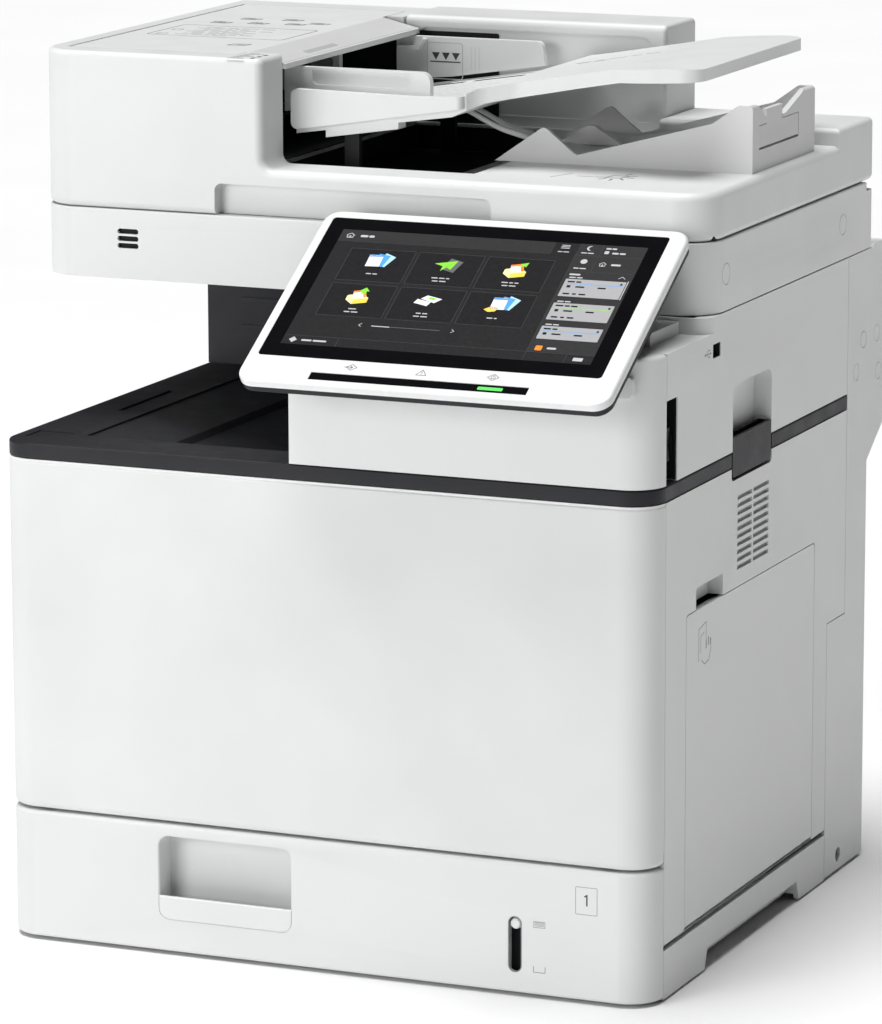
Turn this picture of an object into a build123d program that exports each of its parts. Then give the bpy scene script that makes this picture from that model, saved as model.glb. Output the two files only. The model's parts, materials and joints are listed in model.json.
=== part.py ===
from build123d import *
import math
import os

# Desktop multifunction copier. Millimetres, Z up from the floor, X to the right
# and Y back from the front face while the parts are drawn; the whole machine is
# moved at the end so that its origin is the middle of its footprint.

# Main body
HALF = 260.0            # half of the body's width
CORNER = 25.6           # radius of the front vertical corners
SEAM_Y = 26.0           # front panels wrap the corners back to this line
SIDE_FRONT = 26.8       # side covers start behind the seam
SIDE_BACK = 421.0       # side covers end here, the rear cover follows
SIDE_BACK_LOW = 379.2   # lower stretch, where the rear cover comes further forward
JOG_Z = 207.0           # height of the step between the two
SKIN = 3.0              # cover thickness
BACK = 470.0            # lower rear face
BACK_HIGH = 515.0       # upper rear face

# Heights
FOOT = 6.0
SKIRT_TOP = 38.0
DRAWER_TOP = 100.6
DOOR_BOTTOM = 102.2
DOOR_TOP = 367.4
BAND_BOTTOM = 369.5
BAND_TOP = 380.4
COLUMN_TOP = 475.5
SCAN_BOTTOM = 488.4
SCAN_TOP = 540.8
FEED_BOTTOM = 541.2
SLAB_TOP = 577.0
FEED_TOP = 659.0
REAR_HOUSING_TOP = 661.0

# Scanner and document feeder
SCAN_LEFT = -281.0
SCAN_FRONT = 112.0
SCAN_BACK = 478.6
SCAN_CORNER = 30.0
CHEEK_X = -94.0         # right face of the feed block's front cheek

# Output column and operation panel
COLUMN_X = -22.6        # left face of the column beside the output tray
RISER_Y = 108.8
PANEL_TILT = 30.6       # degrees from the horizontal
PANEL_X = (-35.0, 250.5)
PANEL_RISE = 194.5      # slant height
PANEL_FOOT = (-66.0, 453.3)
PANEL_PIVOT = (-15.0, 462.0)

# Pivots: (first coordinate, height) across the hinge line
DOOR_PIVOT = (6.5, 108.5)
RIGHT_PIVOT = (250.0, 47.0)
MP_PIVOT = (252.0, 50.0)
LATCH_PIVOT = (253.5, 364.5)
FEED_PIVOT = (468.0, 556.0)
TOP_PIVOT = (-262.0, 656.5)
TRAY_PIVOT = (-60.0, 604.0)
STOPPER_PIVOT = (249.0, 596.0)
LIFT_PIVOT = (-222.0, 18.0)
SWITCH_PIVOT = (252.0, 408.0)

# Shafts
DRUM_AXIS = (212.0, 230.0)
TRANSFER_AXIS = (235.6, 230.0)
FUSER_AXIS = (208.0, 318.0)
EXIT_AXIS = (-8.0, 446.0)
FEED_AXIS = (-150.0, 628.0)
FAN_CENTRE = (330.0, 200.0)
RUNNING = 0.05          # radial clearance of a running fit


def block(x0, x1, y0, y1, z0, z1):
    """Box given by its limits."""
    middle = Pos((x0 + x1) / 2, (y0 + y1) / 2, (z0 + z1) / 2)
    return middle * Box(x1 - x0, y1 - y0, z1 - z0)


def rod_x(radius, x0, x1, y, z):
    return Pos((x0 + x1) / 2, y, z) * Rot(0, 90, 0) * Cylinder(radius, x1 - x0)


def rod_y(radius, y0, y1, x, z):
    return Pos(x, (y0 + y1) / 2, z) * Rot(90, 0, 0) * Cylinder(radius, y1 - y0)


def rod_z(radius, z0, z1, x, y):
    return Pos(x, y, (z0 + z1) / 2) * Cylinder(radius, z1 - z0)


def prism_x(points, x0, x1):
    """Outline of (y, z) points, extruded along X."""
    face = make_face(Polyline(*[(x0, y, z) for y, z in points], close=True))
    return extrude(face, amount=x1 - x0, dir=(1, 0, 0))


def prism_y(points, y0, y1):
    """Outline of (x, z) points, extruded along Y."""
    face = make_face(Polyline(*[(x, y0, z) for x, z in points], close=True))
    return extrude(face, amount=y1 - y0, dir=(0, 1, 0))


def prism_z(points, z0, z1):
    """Outline of (x, y) points, extruded along Z."""
    face = make_face(Polyline(*[(x, y, z0) for x, y in points], close=True))
    return extrude(face, amount=z1 - z0, dir=(0, 0, 1))


def group(shapes):
    """Separate solids that share one node."""
    return Compound([solid for shape in shapes for solid in shape.solids()])


def pick(shape, axis, test):
    """Edges parallel to an axis whose middle passes a test."""
    return [e for e in shape.edges().filter_by(axis) if test(e.center())]


def soften(shape, axis, radius, test):
    return fillet(pick(shape, axis, test), radius)


def wrapped(x0, x1, y0, y1, z0, z1, radius):
    """Block whose two front vertical edges are rounded."""
    return soften(block(x0, x1, y0, y1, z0, z1), Axis.Z, radius, lambda p: p.Y < y0 + 0.1)


def rim(shape, z, y_limit, radius):
    """Round the horizontal edges at one height, in front of a limit."""
    edges = [e for e in shape.edges() if abs(e.center().Z - z) < 0.01 and e.center().Y < y_limit]
    edges = [e for e in edges if abs(e.bounding_box().size.Z) < 0.01]
    return fillet(edges, radius)


def disc_groove_x(x_face, y, z, radius):
    """Fine ring, cut round a press-in screw cap on a face that looks along +X."""
    return rod_x(radius, x_face - 0.6, x_face + 1, y, z) - rod_x(radius - 0.7, x_face - 1, x_face + 2, y, z)


# ---------------------------------------------------------------- frame

def base_frame():
    frame = block(-256, 256, 28, 462, FOOT, FOOT + 3)
    for side in (-1, 1):
        outer, inner = sorted((side * HALF, side * (HALF - 4)))
        skirt = block(outer, inner, SIDE_FRONT, SIDE_BACK_LOW, 2, SKIRT_TOP)
        frame += skirt
        lo, hi = sorted((side * 250, side * 256))
        frame += block(lo, hi, 28, SIDE_BACK_LOW, FOOT + 3, 30)
        lo, hi = sorted((side * 226, side * 236))
        frame += block(lo, hi, 30, 415, FOOT + 3, 11.6)
    notch = [(112, 1), (118, 17), (315, 17), (321, 1)]
    for x0, x1 in ((-262, -249), (249, 262)):
        frame -= prism_x(notch, x0, x1)
    for y0, y1 in ((36, 44), (364, 372)):
        frame += block(239, 244, y0, y1, FOOT + 3, 51)
        frame += block(244, 253, y0, y1, 44, 50)
        frame -= rod_y(2.0, y0 - 1, y1 + 1, *RIGHT_PIVOT)
    return frame


def rubber_feet():
    feet = []
    for x in (-220, 220):
        for y in (58, 345):
            foot = rod_z(13, 0, FOOT, x, y)
            feet.append(chamfer(foot.edges().sort_by(Axis.Z)[:1], 1.5))
    return group(feet)


def chassis_frame():
    """Welded sheet: left side, deck over the drawer, top rails and hinge arms."""
    frame = block(-247.5, -246, 31.5, 405, 12, 366)
    frame += block(-246, 232, 31.5, 405, 101.5, 103)
    for y in (34, 396):
        frame += block(40, 160, y, y + 6, 358, 366)
        frame += block(38, 40, y, y + 6, 103, 366)
    fan_y, fan_z = FAN_CENTRE
    frame -= rod_x(37, -249, -245, fan_y, fan_z)
    for x in (-225, 225):
        arm = block(x - 4, x + 4, DOOR_PIVOT[0], 29.5, 105.6, 111.4)
        arm += rod_x(2.9, x - 4, x + 4, *DOOR_PIVOT)
        arm += block(x - 4, x + 4, 26.6, 31.5, 101.5, 111.4)
        frame += arm
    for x in (-225, 225):
        frame -= rod_x(2.0, x - 5, x + 5, *DOOR_PIVOT)
    return frame


def front_plate():
    plate = block(-246, 232, 30, 31.5, 103, 366)
    plate -= block(-214, -86, 29, 33, 226, 334)
    plate -= block(14, 226, 29, 33, 186, 272)
    plate -= block(-200, 10, 29, 33, 118, 176)
    for x in (-225, 225):
        plate -= block(x - 5, x + 5, 29, 33, 102, 113)
    for z in (212, 290):
        for x in (-60, -30):
            plate -= rod_y(6, 29, 33, x, z)
    plate -= block(166, 233, 29, 33, 282, 357)
    return plate


def rear_plate():
    plate = block(-247.5, 236, 405, 406.5, 12, 366)
    for x in (-200, -120, 160):
        plate -= block(x - 20, x + 20, 404, 408, 320, 350)
    for x in (-180, -60):
        plate -= rod_y(12, 404, 408, x, 240)
    return plate


def hinge_pins():
    """Pins and hinge arms that the doors and the feeder turn on."""
    pins = [rod_x(2.0, x - 10, x + 10, *DOOR_PIVOT) for x in (-225, 225)]
    pins.append(rod_y(2.0, 36, 56, *RIGHT_PIVOT))
    pins.append(rod_y(2.0, 352, 372, *RIGHT_PIVOT))
    pivot_y, pivot_z = FEED_PIVOT
    for x in (-200, 200):
        arm = block(x - 5, x + 5, pivot_y - 4.5, pivot_y + 4.5, 533.8, pivot_z)
        arm += rod_x(4.5, x - 5, x + 5, pivot_y, pivot_z)
        arm += rod_x(3.0, x - 15, x + 15, pivot_y, pivot_z)
        pins.append(arm)
    return group(pins)


# ---------------------------------------------------------------- inner units

def toner_cartridge():
    body = soften(block(-205, -95, 36, 395, 236, 324), Axis.Y, 18, lambda p: True)
    grip = block(-175, -125, 27.5, 36, 255, 300)
    grip -= block(-168, -132, 26, 34, 262, 293)
    return body + grip


def drum_cartridge():
    body = block(60, 204, 36, 398, 196, 262)
    body -= rod_y(17.5, 43, 391, *DRUM_AXIS)
    body -= block(188, 206, 43, 391, 212, 248)
    for y0, y1 in ((36, 42), (392, 398)):
        body += block(196, 222, y0, y1, 216, 244)
    body -= rod_y(4 + RUNNING, 35, 399, *DRUM_AXIS)
    body += block(90, 150, 27.5, 36, 218, 240) - block(98, 142, 26, 34, 222, 236)
    return body


def photo_drum():
    """Drum with its drive gear beside it."""
    drum = rod_y(15, 44, 380, *DRUM_AXIS) + rod_y(4, 33, 403.5, *DRUM_AXIS)
    x, z = DRUM_AXIS
    gear = rod_y(12.6, 382, 390, x, z)
    teeth = 22
    for i in range(teeth):
        tooth = prism_y([(-1.1, 12), (1.1, 12), (0.6, 14.8), (-0.6, 14.8)], 382, 390)
        gear += Pos(x, 0, z) * Rot(0, i * 360 / teeth, 0) * tooth
    return drum + gear


def laser_unit():
    body = block(-108, 40, 60, 380, 110, 180)
    body -= block(-104, 36, 64, 376, 113, 177)
    body -= block(39, 41, 80, 360, 150, 158)
    mirror = rod_z(18, 113, 128, -50, 220)
    return body + mirror


def fuser_housing():
    shell = block(172, 246, 40, 398, 288, 350)
    shell -= block(175, 243, 46, 392, 291, 347)
    shell -= block(224, 232, 60, 378, 286, 352)
    shell -= rod_y(4 + RUNNING, 39, 399, *FUSER_AXIS)
    pad = block(223.5, 243, 60, 378, 300, 336)
    return shell + pad


def fuser_roller():
    return rod_y(14, 60, 378, *FUSER_AXIS) + rod_y(4, 41, 397, *FUSER_AXIS)


def main_motor():
    motor = rod_y(28, 408, 436, 60, 230) + rod_y(9, 436, 441, 60, 230)
    return motor + block(28, 92, 406.5, 408, 198, 262)


def main_board():
    board = block(-190, 10, 411, 412.6, 60, 300)
    for x in (-182, 2):
        for z in (68, 292):
            board += rod_y(3, 406.5, 411, x, z)
    chips = [(-140, 220, 34), (-70, 240, 26), (-90, 140, 40), (-150, 110, 22), (-30, 180, 18)]
    for x, z, size in chips:
        board += block(x - size / 2, x + size / 2, 412.6, 416, z - size / 2, z + size / 2)
    for z in (90, 130, 170, 210, 250):
        board += block(-6, 6, 412.6, 422, z - 12, z + 12)
    return board


def power_supply():
    case = block(-242, -128, 60, 284, 106, 190)
    case -= block(-240, -130, 62, 282, 108, 188)
    for i in range(6):
        y = 90 + i * 30
        case -= block(-129, -127, y, y + 14, 120, 176)
    case += block(-238, -134, 66, 278, 108, 110)
    for y in (100, 170, 240):
        case += rod_z(14, 110, 150, -185, y)
    return case


def fan_frame():
    y, z = FAN_CENTRE
    frame = block(-245.5, -220.5, y - 40, y + 40, z - 40, z + 40)
    frame -= rod_x(37, -247, -219, y, z)
    for tilt in (45, 135):
        spoke = Pos(-222, y, z) * Rot(tilt, 0, 0) * Box(3, 6, 78)
        frame += spoke
    return frame + rod_x(17, -223.5, -220.5, y, z)


def fan_rotor():
    y, z = FAN_CENTRE
    hub = rod_x(18, -243, -225, y, z)
    blade = Pos(0, 0, 26) * Rot(0, 0, 35) * Box(15, 1.8, 18)
    for i in range(7):
        hub += Pos(-234, y, z) * Rot(i * 360 / 7, 0, 0) * blade
    return hub


# ---------------------------------------------------------------- covers

def side_outline(bottom, top):
    """The stepped outline that both side covers share."""
    jog = JOG_Z + 0.4
    return [(SIDE_FRONT, bottom), (SIDE_BACK_LOW, bottom), (SIDE_BACK_LOW, jog),
            (SIDE_BACK, jog), (SIDE_BACK, top), (SIDE_FRONT, top)]


def left_cover():
    cover = prism_x(side_outline(SKIRT_TOP + 0.8, 368.8), -HALF, -HALF + SKIN)
    fan_y, fan_z = FAN_CENTRE
    for i in range(9):
        z = fan_z - 33 + i * 8
        cover -= block(-HALF - 1, -HALF + SKIN + 1, fan_y - 36, fan_y + 36, z, z + 4)
    for y in (60, 150, 240):
        cover += block(-HALF + SKIN, -HALF + SKIN + 5, y, y + 2, 60, 350)
    return cover


def rear_profile(inset):
    """Rear cover outline, moved in by the cover's thickness for the inside."""
    high, low = BACK_HIGH - inset, BACK - inset
    return [(low, 3 + inset), (low, 320 + inset / 2), (high, 349 + inset / 2),
            (high, 482 - inset), (high - 8, 490 - inset)]


def rear_cover():
    front_high, front_low = SIDE_BACK + 0.8, SIDE_BACK_LOW + 0.8
    outline = [(front_low, 3)] + rear_profile(0)
    outline += [(484, 490), (480.5, 487.4), (front_high, 487.4), (front_high, JOG_Z - 0.4),
                (front_low, JOG_Z - 0.4)]
    shell = prism_x(outline, -HALF, HALF)
    inner = [(front_low - 5, 6)] + rear_profile(SKIN) + [(480, 484.4), (front_low - 5, 484.4)]
    shell -= prism_x(inner, -HALF + SKIN, HALF - SKIN)
    shell -= rod_x(6, HALF - 4, HALF + 1, 412.8, 14.6)
    for y, z in ((458.8, 417.6), (491, 417.9), (442.3, 394.4), (495.7, 387.1)):
        shell -= disc_groove_x(HALF, y, z, 7)
    for i in range(12):
        for x in (-200, -120):
            shell -= block(x, x + 60, BACK - 5, BACK + 1, 150 + i * 9, 154 + i * 9)
    shell -= block(170, 218, BACK - 5, BACK + 1, 42, 72)
    return shell


def power_inlet():
    """Mains inlet with its three blades, in the rear cover's cut-out."""
    body = block(170, 218, 440, BACK + 0.5, 42, 72)
    body -= block(180, 208, 446, BACK + 2, 48, 66)
    for x, z in ((186, 54), (194, 59), (202, 54)):
        body += block(x - 1, x + 1, 446, 464, z - 2, z + 2)
    return body


def output_tray():
    """Dark band round the body, with the sunk tray in its left part."""
    band = wrapped(-HALF, HALF, 0, SIDE_BACK, BAND_BOTTOM, BAND_TOP, CORNER)
    band = rim(band, BAND_TOP, SIDE_BACK - 1, 1.6)
    band -= wrapped(-252, 252, 8, SIDE_BACK + 1, 369, 377, CORNER - 8)
    void = [(-208, 381), (-208, 378.9), (-156, 371), (-153, 366), (COLUMN_X, 348), (COLUMN_X, 381)]
    right = COLUMN_X + SKIN
    pan = [(-211, 379), (-211, 375.5), (-157.5, 367.5), (-154.5, 362.8), (right, 344.6), (right, 379)]
    band += prism_y(pan, 41, 363)
    band -= prism_y(void, 44, 360)
    band -= block(150, 244, 46, 394, 370, 382)
    band -= block(244, HALF + 1, 161.5, 248.5, 369, 382)
    band -= block(-233, -228, 146, 238, 378.6, 382)
    band -= block(-250, -220, 26, 50, 379.6, 382)
    return band


def cavity_back():
    wall = block(-HALF, COLUMN_X - 0.4, 364.5, 367.5, BAND_TOP, 488)
    wall += block(-HALF, -HALF + 3, 367.5, 376, BAND_TOP, 488)
    for z in (410, 432, 454):
        wall += block(-230, -60, 362.9, 364.5, z, z + 3)
    return wall


def upper_left_cover():
    cover = block(-HALF, -HALF + SKIN, 376.4, SIDE_BACK, BAND_TOP + 0.4, 487.4)
    cover += block(-HALF + SKIN, -HALF + 24, SIDE_BACK - SKIN, SIDE_BACK, BAND_TOP + 0.4, 487.4)
    return cover


def column_cover():
    """White column beside the output tray, with the paper exit in its left wall."""
    bottom = BAND_TOP + 0.4
    shell = block(COLUMN_X, HALF, 0, SEAM_Y, bottom, COLUMN_TOP)
    shell = soften(shell, Axis.Z, CORNER, lambda p: p.Y < 1 and p.X > 0)
    shell = soften(shell, Axis.Z, 1.2, lambda p: p.Y < 1 and p.X < 0)
    shell = rim(shell, COLUMN_TOP, SEAM_Y - 0.5, 3.5)
    hollow = block(COLUMN_X + SKIN, HALF - SKIN, SKIN, SEAM_Y + 1, bottom - 1, COLUMN_TOP - SKIN)
    shell -= soften(hollow, Axis.Z, CORNER - SKIN, lambda p: p.Y < SKIN + 0.1 and p.X > 0)
    shell += block(COLUMN_X, COLUMN_X + SKIN, SEAM_Y, RISER_Y, bottom, COLUMN_TOP)
    shell += block(COLUMN_X, COLUMN_X + SKIN, RISER_Y, 364, bottom, 487.8)
    shell += block(COLUMN_X, 205, SEAM_Y, RISER_Y - 0.4, COLUMN_TOP - SKIN, COLUMN_TOP)
    shell -= block(COLUMN_X - 1, COLUMN_X + SKIN + 1, 55, 355, 437, 455)
    for y in (42, 357):
        lug = block(COLUMN_X + SKIN, 2, y, y + 6, 434, 458)
        shell += lug - rod_y(3 + RUNNING, y - 1, y + 7, *EXIT_AXIS)
    ledge = block(-10, 238, 50, RISER_Y - 0.4, COLUMN_TOP, 485)
    ledge = soften(ledge, Axis.X, 4, lambda p: p.Z > 484 and p.Y < 51)
    return shell + ledge - block(-7, 235, 53, RISER_Y + 1, COLUMN_TOP - SKIN - 1, 482)


def exit_roller():
    roller = rod_y(3, 42.5, 362.5, *EXIT_AXIS)
    for y in (70, 130, 190, 250, 310):
        roller += rod_y(8, y, y + 30, *EXIT_AXIS)
    return roller


def upper_right_cover():
    """Right upper cover with the finger well, port pocket and switch slot."""
    bottom = BAND_TOP + 0.4
    low = block(205.4, HALF, SIDE_FRONT, SIDE_BACK, bottom, COLUMN_TOP)
    high = block(-19.2, HALF, RISER_Y, SIDE_BACK, COLUMN_TOP, 487.4)
    high = soften(high, Axis.Z, 15, lambda p: p.X > 0 and p.Y < RISER_Y + 1)
    shell = low + high
    shell -= block(204, HALF - SKIN, SIDE_FRONT - 1, SIDE_BACK + 1, bottom - 1, COLUMN_TOP - SKIN)
    shell -= block(-20, HALF - 12, RISER_Y + SKIN, SIDE_BACK + 1, COLUMN_TOP - SKIN - 1, 490)
    shell += block(243, HALF - SKIN, 160, 250, bottom, 433.3)
    cut = block(246, HALF + 1, 163, 247, bottom - 1, 430.3)
    shell -= soften(cut, Axis.X, 8, lambda p: p.Z > 430)
    shell += block(244, HALF - SKIN, 117, 139, 454, 470.4)
    shell -= block(248, HALF + 1, 120, 136, 457, 467.4)
    shell += block(248, 252.5, 123, 133, 460, 464)
    shell -= block(HALF - SKIN - 1, HALF + 1, SIDE_FRONT - 1, 48, bottom - 1, 441.7)
    shell += block(243, 245, 27, 52, bottom, 445)
    shell += block(245, HALF - SKIN, 49.5, 52, bottom, 445)
    for y in (27, 47.2):
        ear = block(245, 256, y, y + 2, 402, 414)
        shell += ear - rod_y(1.6 + RUNNING, y - 1, y + 3, *SWITCH_PIVOT)
    return shell


def power_switch():
    """Rocker in the slot behind the column's right end."""
    rocker = prism_y([(248, 396), (256, 396), (254.6, 408), (256, 420), (248, 420)], 33, 43)
    return rocker + rod_y(1.6, 27.5, 48.7, *SWITCH_PIVOT)


# ---------------------------------------------------------------- scanner

def scanner_shape(x0, x1, y0, y1, z0, z1, front_radius):
    body = wrapped(x0, x1, y0, y1, z0, z1, front_radius)
    return soften(body, Axis.Z, 6, lambda p: p.Y > y1 - 0.1)


def scanner_housing():
    body = scanner_shape(SCAN_LEFT, HALF, SCAN_FRONT, SCAN_BACK, SCAN_BOTTOM, SCAN_TOP, SCAN_CORNER)
    body = rim(body, SCAN_TOP, SCAN_BACK - 1, 1.2)
    body -= block(SCAN_LEFT - 1, HALF + 1, 461.5, SCAN_BACK + 1, 533.8, SCAN_TOP + 1)
    body -= scanner_shape(SCAN_LEFT + 3, HALF - 3, SCAN_FRONT + 3, 458, SCAN_BOTTOM + 3, SCAN_TOP - 2.6, 27)
    body -= block(-200, 165, 178, 402, SCAN_TOP - 4, SCAN_TOP + 1)
    body -= block(-234, -212, 178, 402, SCAN_TOP - 4, SCAN_TOP + 1)
    for z in (524.4, 518.9, 513.5):
        slot = block(-214, -196.5, SCAN_FRONT - 1, SCAN_FRONT + 4, z - 2, z + 2)
        body -= soften(slot, Axis.Y, 1.9, lambda p: True)
    for y in (146.5, 406):
        body -= disc_groove_x(HALF, y, 515.3, 8.2)
    return body


def platen_glass():
    """Book glass and the narrow strip that the feeder reads through."""
    low, high = SCAN_TOP - 2.6, SCAN_TOP - 0.1
    return group([block(-200, 165, 178, 402, low, high), block(-234, -212, 178, 402, low, high)])


def scan_carriage():
    carriage = block(-240, -212, 160, 420, 506, 528)
    carriage -= block(-237, -215, 164, 416, 512, 529)
    carriage += block(-229, -223, 164, 416, 512, 524)
    return carriage


# ---------------------------------------------------------------- front door

def front_door():
    door = wrapped(-HALF, HALF, 0, SEAM_Y, DOOR_BOTTOM, DOOR_TOP, CORNER)
    door = rim(door, DOOR_BOTTOM, SEAM_Y - 0.5, 5)
    door = rim(door, DOOR_TOP, SEAM_Y - 0.5, 2.5)
    door -= wrapped(-HALF + SKIN, HALF - SKIN, SKIN, SEAM_Y + 1, DOOR_BOTTOM + 3, DOOR_TOP - 3, CORNER - SKIN)
    for x in (-225, 225):
        door -= block(x - 5.5, x + 5.5, SKIN, SEAM_Y + 1, DOOR_BOTTOM - 1, DOOR_BOTTOM + 4)
        for x0 in (x - 10.5, x + 4.5):
            door += block(x0, x0 + 6, 2.9, 10.4, DOOR_BOTTOM + 2.9, 112.4)
        door -= rod_x(2 + RUNNING, x - 11, x + 11, *DOOR_PIVOT)
    door -= block(-HALF + 1, HALF - 1, 24.4, SEAM_Y + 1, DOOR_BOTTOM - 1, DOOR_BOTTOM + 4)
    corner = block(HALF - 3.5, HALF + 1, 25.2, SEAM_Y + 1, DOOR_BOTTOM - 1, DOOR_BOTTOM + 9)
    door -= corner
    return door - mirror(corner, Plane.YZ)


def front_door_liner():
    liner = block(-244, 244, 17.5, 20, 120, 358)
    liner -= block(-230, 230, 18.8, 21, 134, 344)
    for x in (-180, -60, 60, 180):
        liner += block(x - 1.2, x + 1.2, SKIN, 17.5, 124, 354)
    for x in (-210, 210):
        liner += block(x - 8, x + 8, 20, 23, 336, 350)
    return liner


# ---------------------------------------------------------------- paper drawer

def drawer_front():
    front = wrapped(-HALF, HALF, 0, SEAM_Y, 3, DRAWER_TOP, CORNER)
    front = rim(front, DRAWER_TOP, SEAM_Y - 0.5, 3)
    front = rim(front, 3, SEAM_Y - 0.5, 2)
    front -= wrapped(-HALF + SKIN, HALF - SKIN, SKIN, SEAM_Y + 1, 6, DRAWER_TOP - 3, CORNER - SKIN)
    front += block(-134, -20.4, 2.9, 24, 25.2, 94.3)
    pocket = block(-131.1, -23.3, -1, 21.5, 28, 91.5)
    front -= soften(pocket, Axis.Y, 8, lambda p: True)
    lip = soften(block(-131.1, -23.3, 0, 3, 28, 45.3), Axis.Y, 7.9, lambda p: p.Z < 29)
    front += soften(lip, Axis.X, 1.2, lambda p: p.Z > 45)
    front -= drawer_handle_groove()
    slot = block(149.8, 160.1, -1, SKIN + 1, 18.5, 60.1)
    front -= soften(slot, Axis.Y, 5.1, lambda p: True)
    gauge = block(146, 164, SKIN, 12, 14, 64) - block(148.5, 161.5, SKIN - 1, 10, 16, 62)
    return front + gauge


def drawer_handle_groove():
    """Fine seam round the handle insert."""
    outer = soften(block(-131.7, -22.7, -1, 0.6, 27.4, 92.1), Axis.Y, 8.6, lambda p: True)
    inner = soften(block(-131.1, -23.3, -2, 2, 28, 91.5), Axis.Y, 8, lambda p: True)
    return outer - inner


def drawer_tray():
    half, wall = 234.8, 2.5
    inside = half - wall
    tray = block(-half, half, SEAM_Y, 396, 12, 92)
    tray -= block(-inside, inside, SEAM_Y + wall, 396 - wall, 12 + wall, 93)
    tray -= block(inside - 1, half + 1, 70, 352, 70, 93)
    for x in (-half, inside):
        tray += block(x, x + wall, 380, 396, 92, 96)
    for y in (100, 211, 322):
        tray += block(-inside, -226, y - 6, y + 6, 12 + wall, 40)
    return tray


def lift_plate():
    """Plate that raises the paper's leading edge, notched for the guides."""
    plate = block(-222, 226, 48, 374, 17, 19)
    for y0, y1 in ((47, 165), (257, 375)):
        plate -= block(-42, 42, y0, y1, 16, 20)
    plate -= block(-150, 30, 190, 232, 16, 20)
    for y in (60, 362):
        lug = rod_y(3.2, y - 6, y + 6, *LIFT_PIVOT) - rod_y(1.5, y - 7, y + 7, *LIFT_PIVOT)
        plate += lug
    return plate


def side_guide(face, outward):
    """Paper side guide; its inner face is at one y, its foot reaches outward."""
    y0, y1 = sorted((face, face + outward * 3))
    guide = block(-34, 34, y0, y1, 15, 82)
    y0, y1 = sorted((face, face + outward * 26))
    guide += block(-34, 34, y0, y1, 15, 17.5)
    for x in (-24, 0, 24):
        y0, y1 = sorted((face + outward * 3, face + outward * 20))
        rib = [(y0, 17.5), (y1, 17.5), (y0 if outward > 0 else y1, 60)]
        guide += prism_x(rib, x - 1, x + 1)
    return guide


def drawer_end_guide():
    guide = block(-76, -73, 196, 226, 15, 78)
    guide += block(-96, -76, 200, 222, 15, 18)
    return guide + block(-88, -76, 209, 213, 18, 50)


def level_indicator():
    """Ball that shows in the slot how much paper is left."""
    ball = rod_y(4.2, 1, 7, 154.95, 54.5)
    ball = fillet(ball.edges().filter_by(GeomType.CIRCLE).sort_by(Axis.Y)[:1], 1.5)
    return ball + block(153, 157, 7, 9, 50, 57)


# ---------------------------------------------------------------- right door

def right_door_cover():
    top = 368.2
    cover = prism_x(side_outline(41, top), HALF - SKIN, HALF)
    cover = soften(cover, Axis.Y, 2.9, lambda p: p.Z < 42 and p.X > HALF - 1)
    for y in (SIDE_FRONT, SIDE_BACK - 2.5):
        cover += block(246, HALF - SKIN, y, y + 2.5, 210 if y > 100 else 60, top)
    cover += block(246, HALF - SKIN, SIDE_FRONT, SIDE_BACK, top - 2.5, top)
    pocket = block(246, HALF - SKIN, 86.2, 147.5, 278, 296.5)
    cover += pocket
    opening = block(HALF - SKIN - 1, HALF + 1, 68.6, 348.8, 42, 277.8)
    cover -= soften(opening, Axis.X, 4, lambda p: p.Z > 270)
    cover -= block(248.5, HALF + 1, 88.7, 145, 276, 294)
    for i in range(10):
        z = 290.3 + i * 5.83
        for y0, y1 in ((174.9, 206.2), (209.2, 242.6)):
            cover -= block(HALF - SKIN - 1, HALF + 1, y0, y1, z, z + 3.3)
    notch = block(240, HALF + 1, 161.5, 248.5, 358.8, 372)
    cover -= soften(notch, Axis.X, 4, lambda p: p.Z < 359)
    for y0, y1 in ((153, 160.5), (249.5, 257)):
        lug = block(249.5, HALF - SKIN, y0, y1, 359, 366)
        pin = rod_y(1.5, 156, 168, *LATCH_PIVOT) if y0 < 200 else rod_y(1.5, 242, 254, *LATCH_PIVOT)
        cover += lug + pin
    return cover


def right_door_inner():
    """Inner guide of the right door, with ribs along the paper path."""
    inner = block(237, 240, 36, 398, 64, 280)
    inner -= block(236, 241, 48, 386, 219, 241)
    inner -= block(236, 241, SIDE_BACK_LOW - 0.8, 399, 63, JOG_Z + 6)
    for i in range(12):
        y = 62 + i * 26
        inner += block(234.5, 237, y, y + 2, 124, 210)
        inner += block(234.5, 237, y, y + 2, 250, 276)
    for y in (60, 352):
        inner += block(240, HALF - SKIN, y, y + 3, 64, 280)
    inner -= block(240, 245, 59, 356, 219, 241)
    for y0, y1 in ((38, 46), (388, 396)):
        inner += block(230, 240, y0, y1, 222, 238)
    for y0, y1 in ((46, 54), (354, 362)):
        inner += block(245, 255, y0, y1, 42.5, 51.5)
        inner += block(237, 255, y0, y1, 51.5, 66)
    for y0, y1 in ((54, 66), (349, 354)):
        inner += block(247, HALF - SKIN, y0, y1, 46.5, 66)
    inner -= rod_y(3 + RUNNING, 37, 397, *TRANSFER_AXIS)
    inner -= rod_y(2 + RUNNING, 35, 63, *RIGHT_PIVOT)
    inner -= rod_y(2 + RUNNING, 350, 373, *RIGHT_PIVOT)
    return inner + rod_y(2.0, 63, 75, *MP_PIVOT) + rod_y(2.0, 342.5, 352, *MP_PIVOT)


def latch_handle():
    handle = block(249.5, HALF, 163.5, 246.5, 361.3, 391)
    handle = soften(handle, Axis.X, 3, lambda p: p.Z < 362)
    handle -= block(251.5, HALF - 2.5, 166, 244, 370, 392)
    return handle - rod_y(1.5 + RUNNING, 163, 247, *LATCH_PIVOT)


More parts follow.
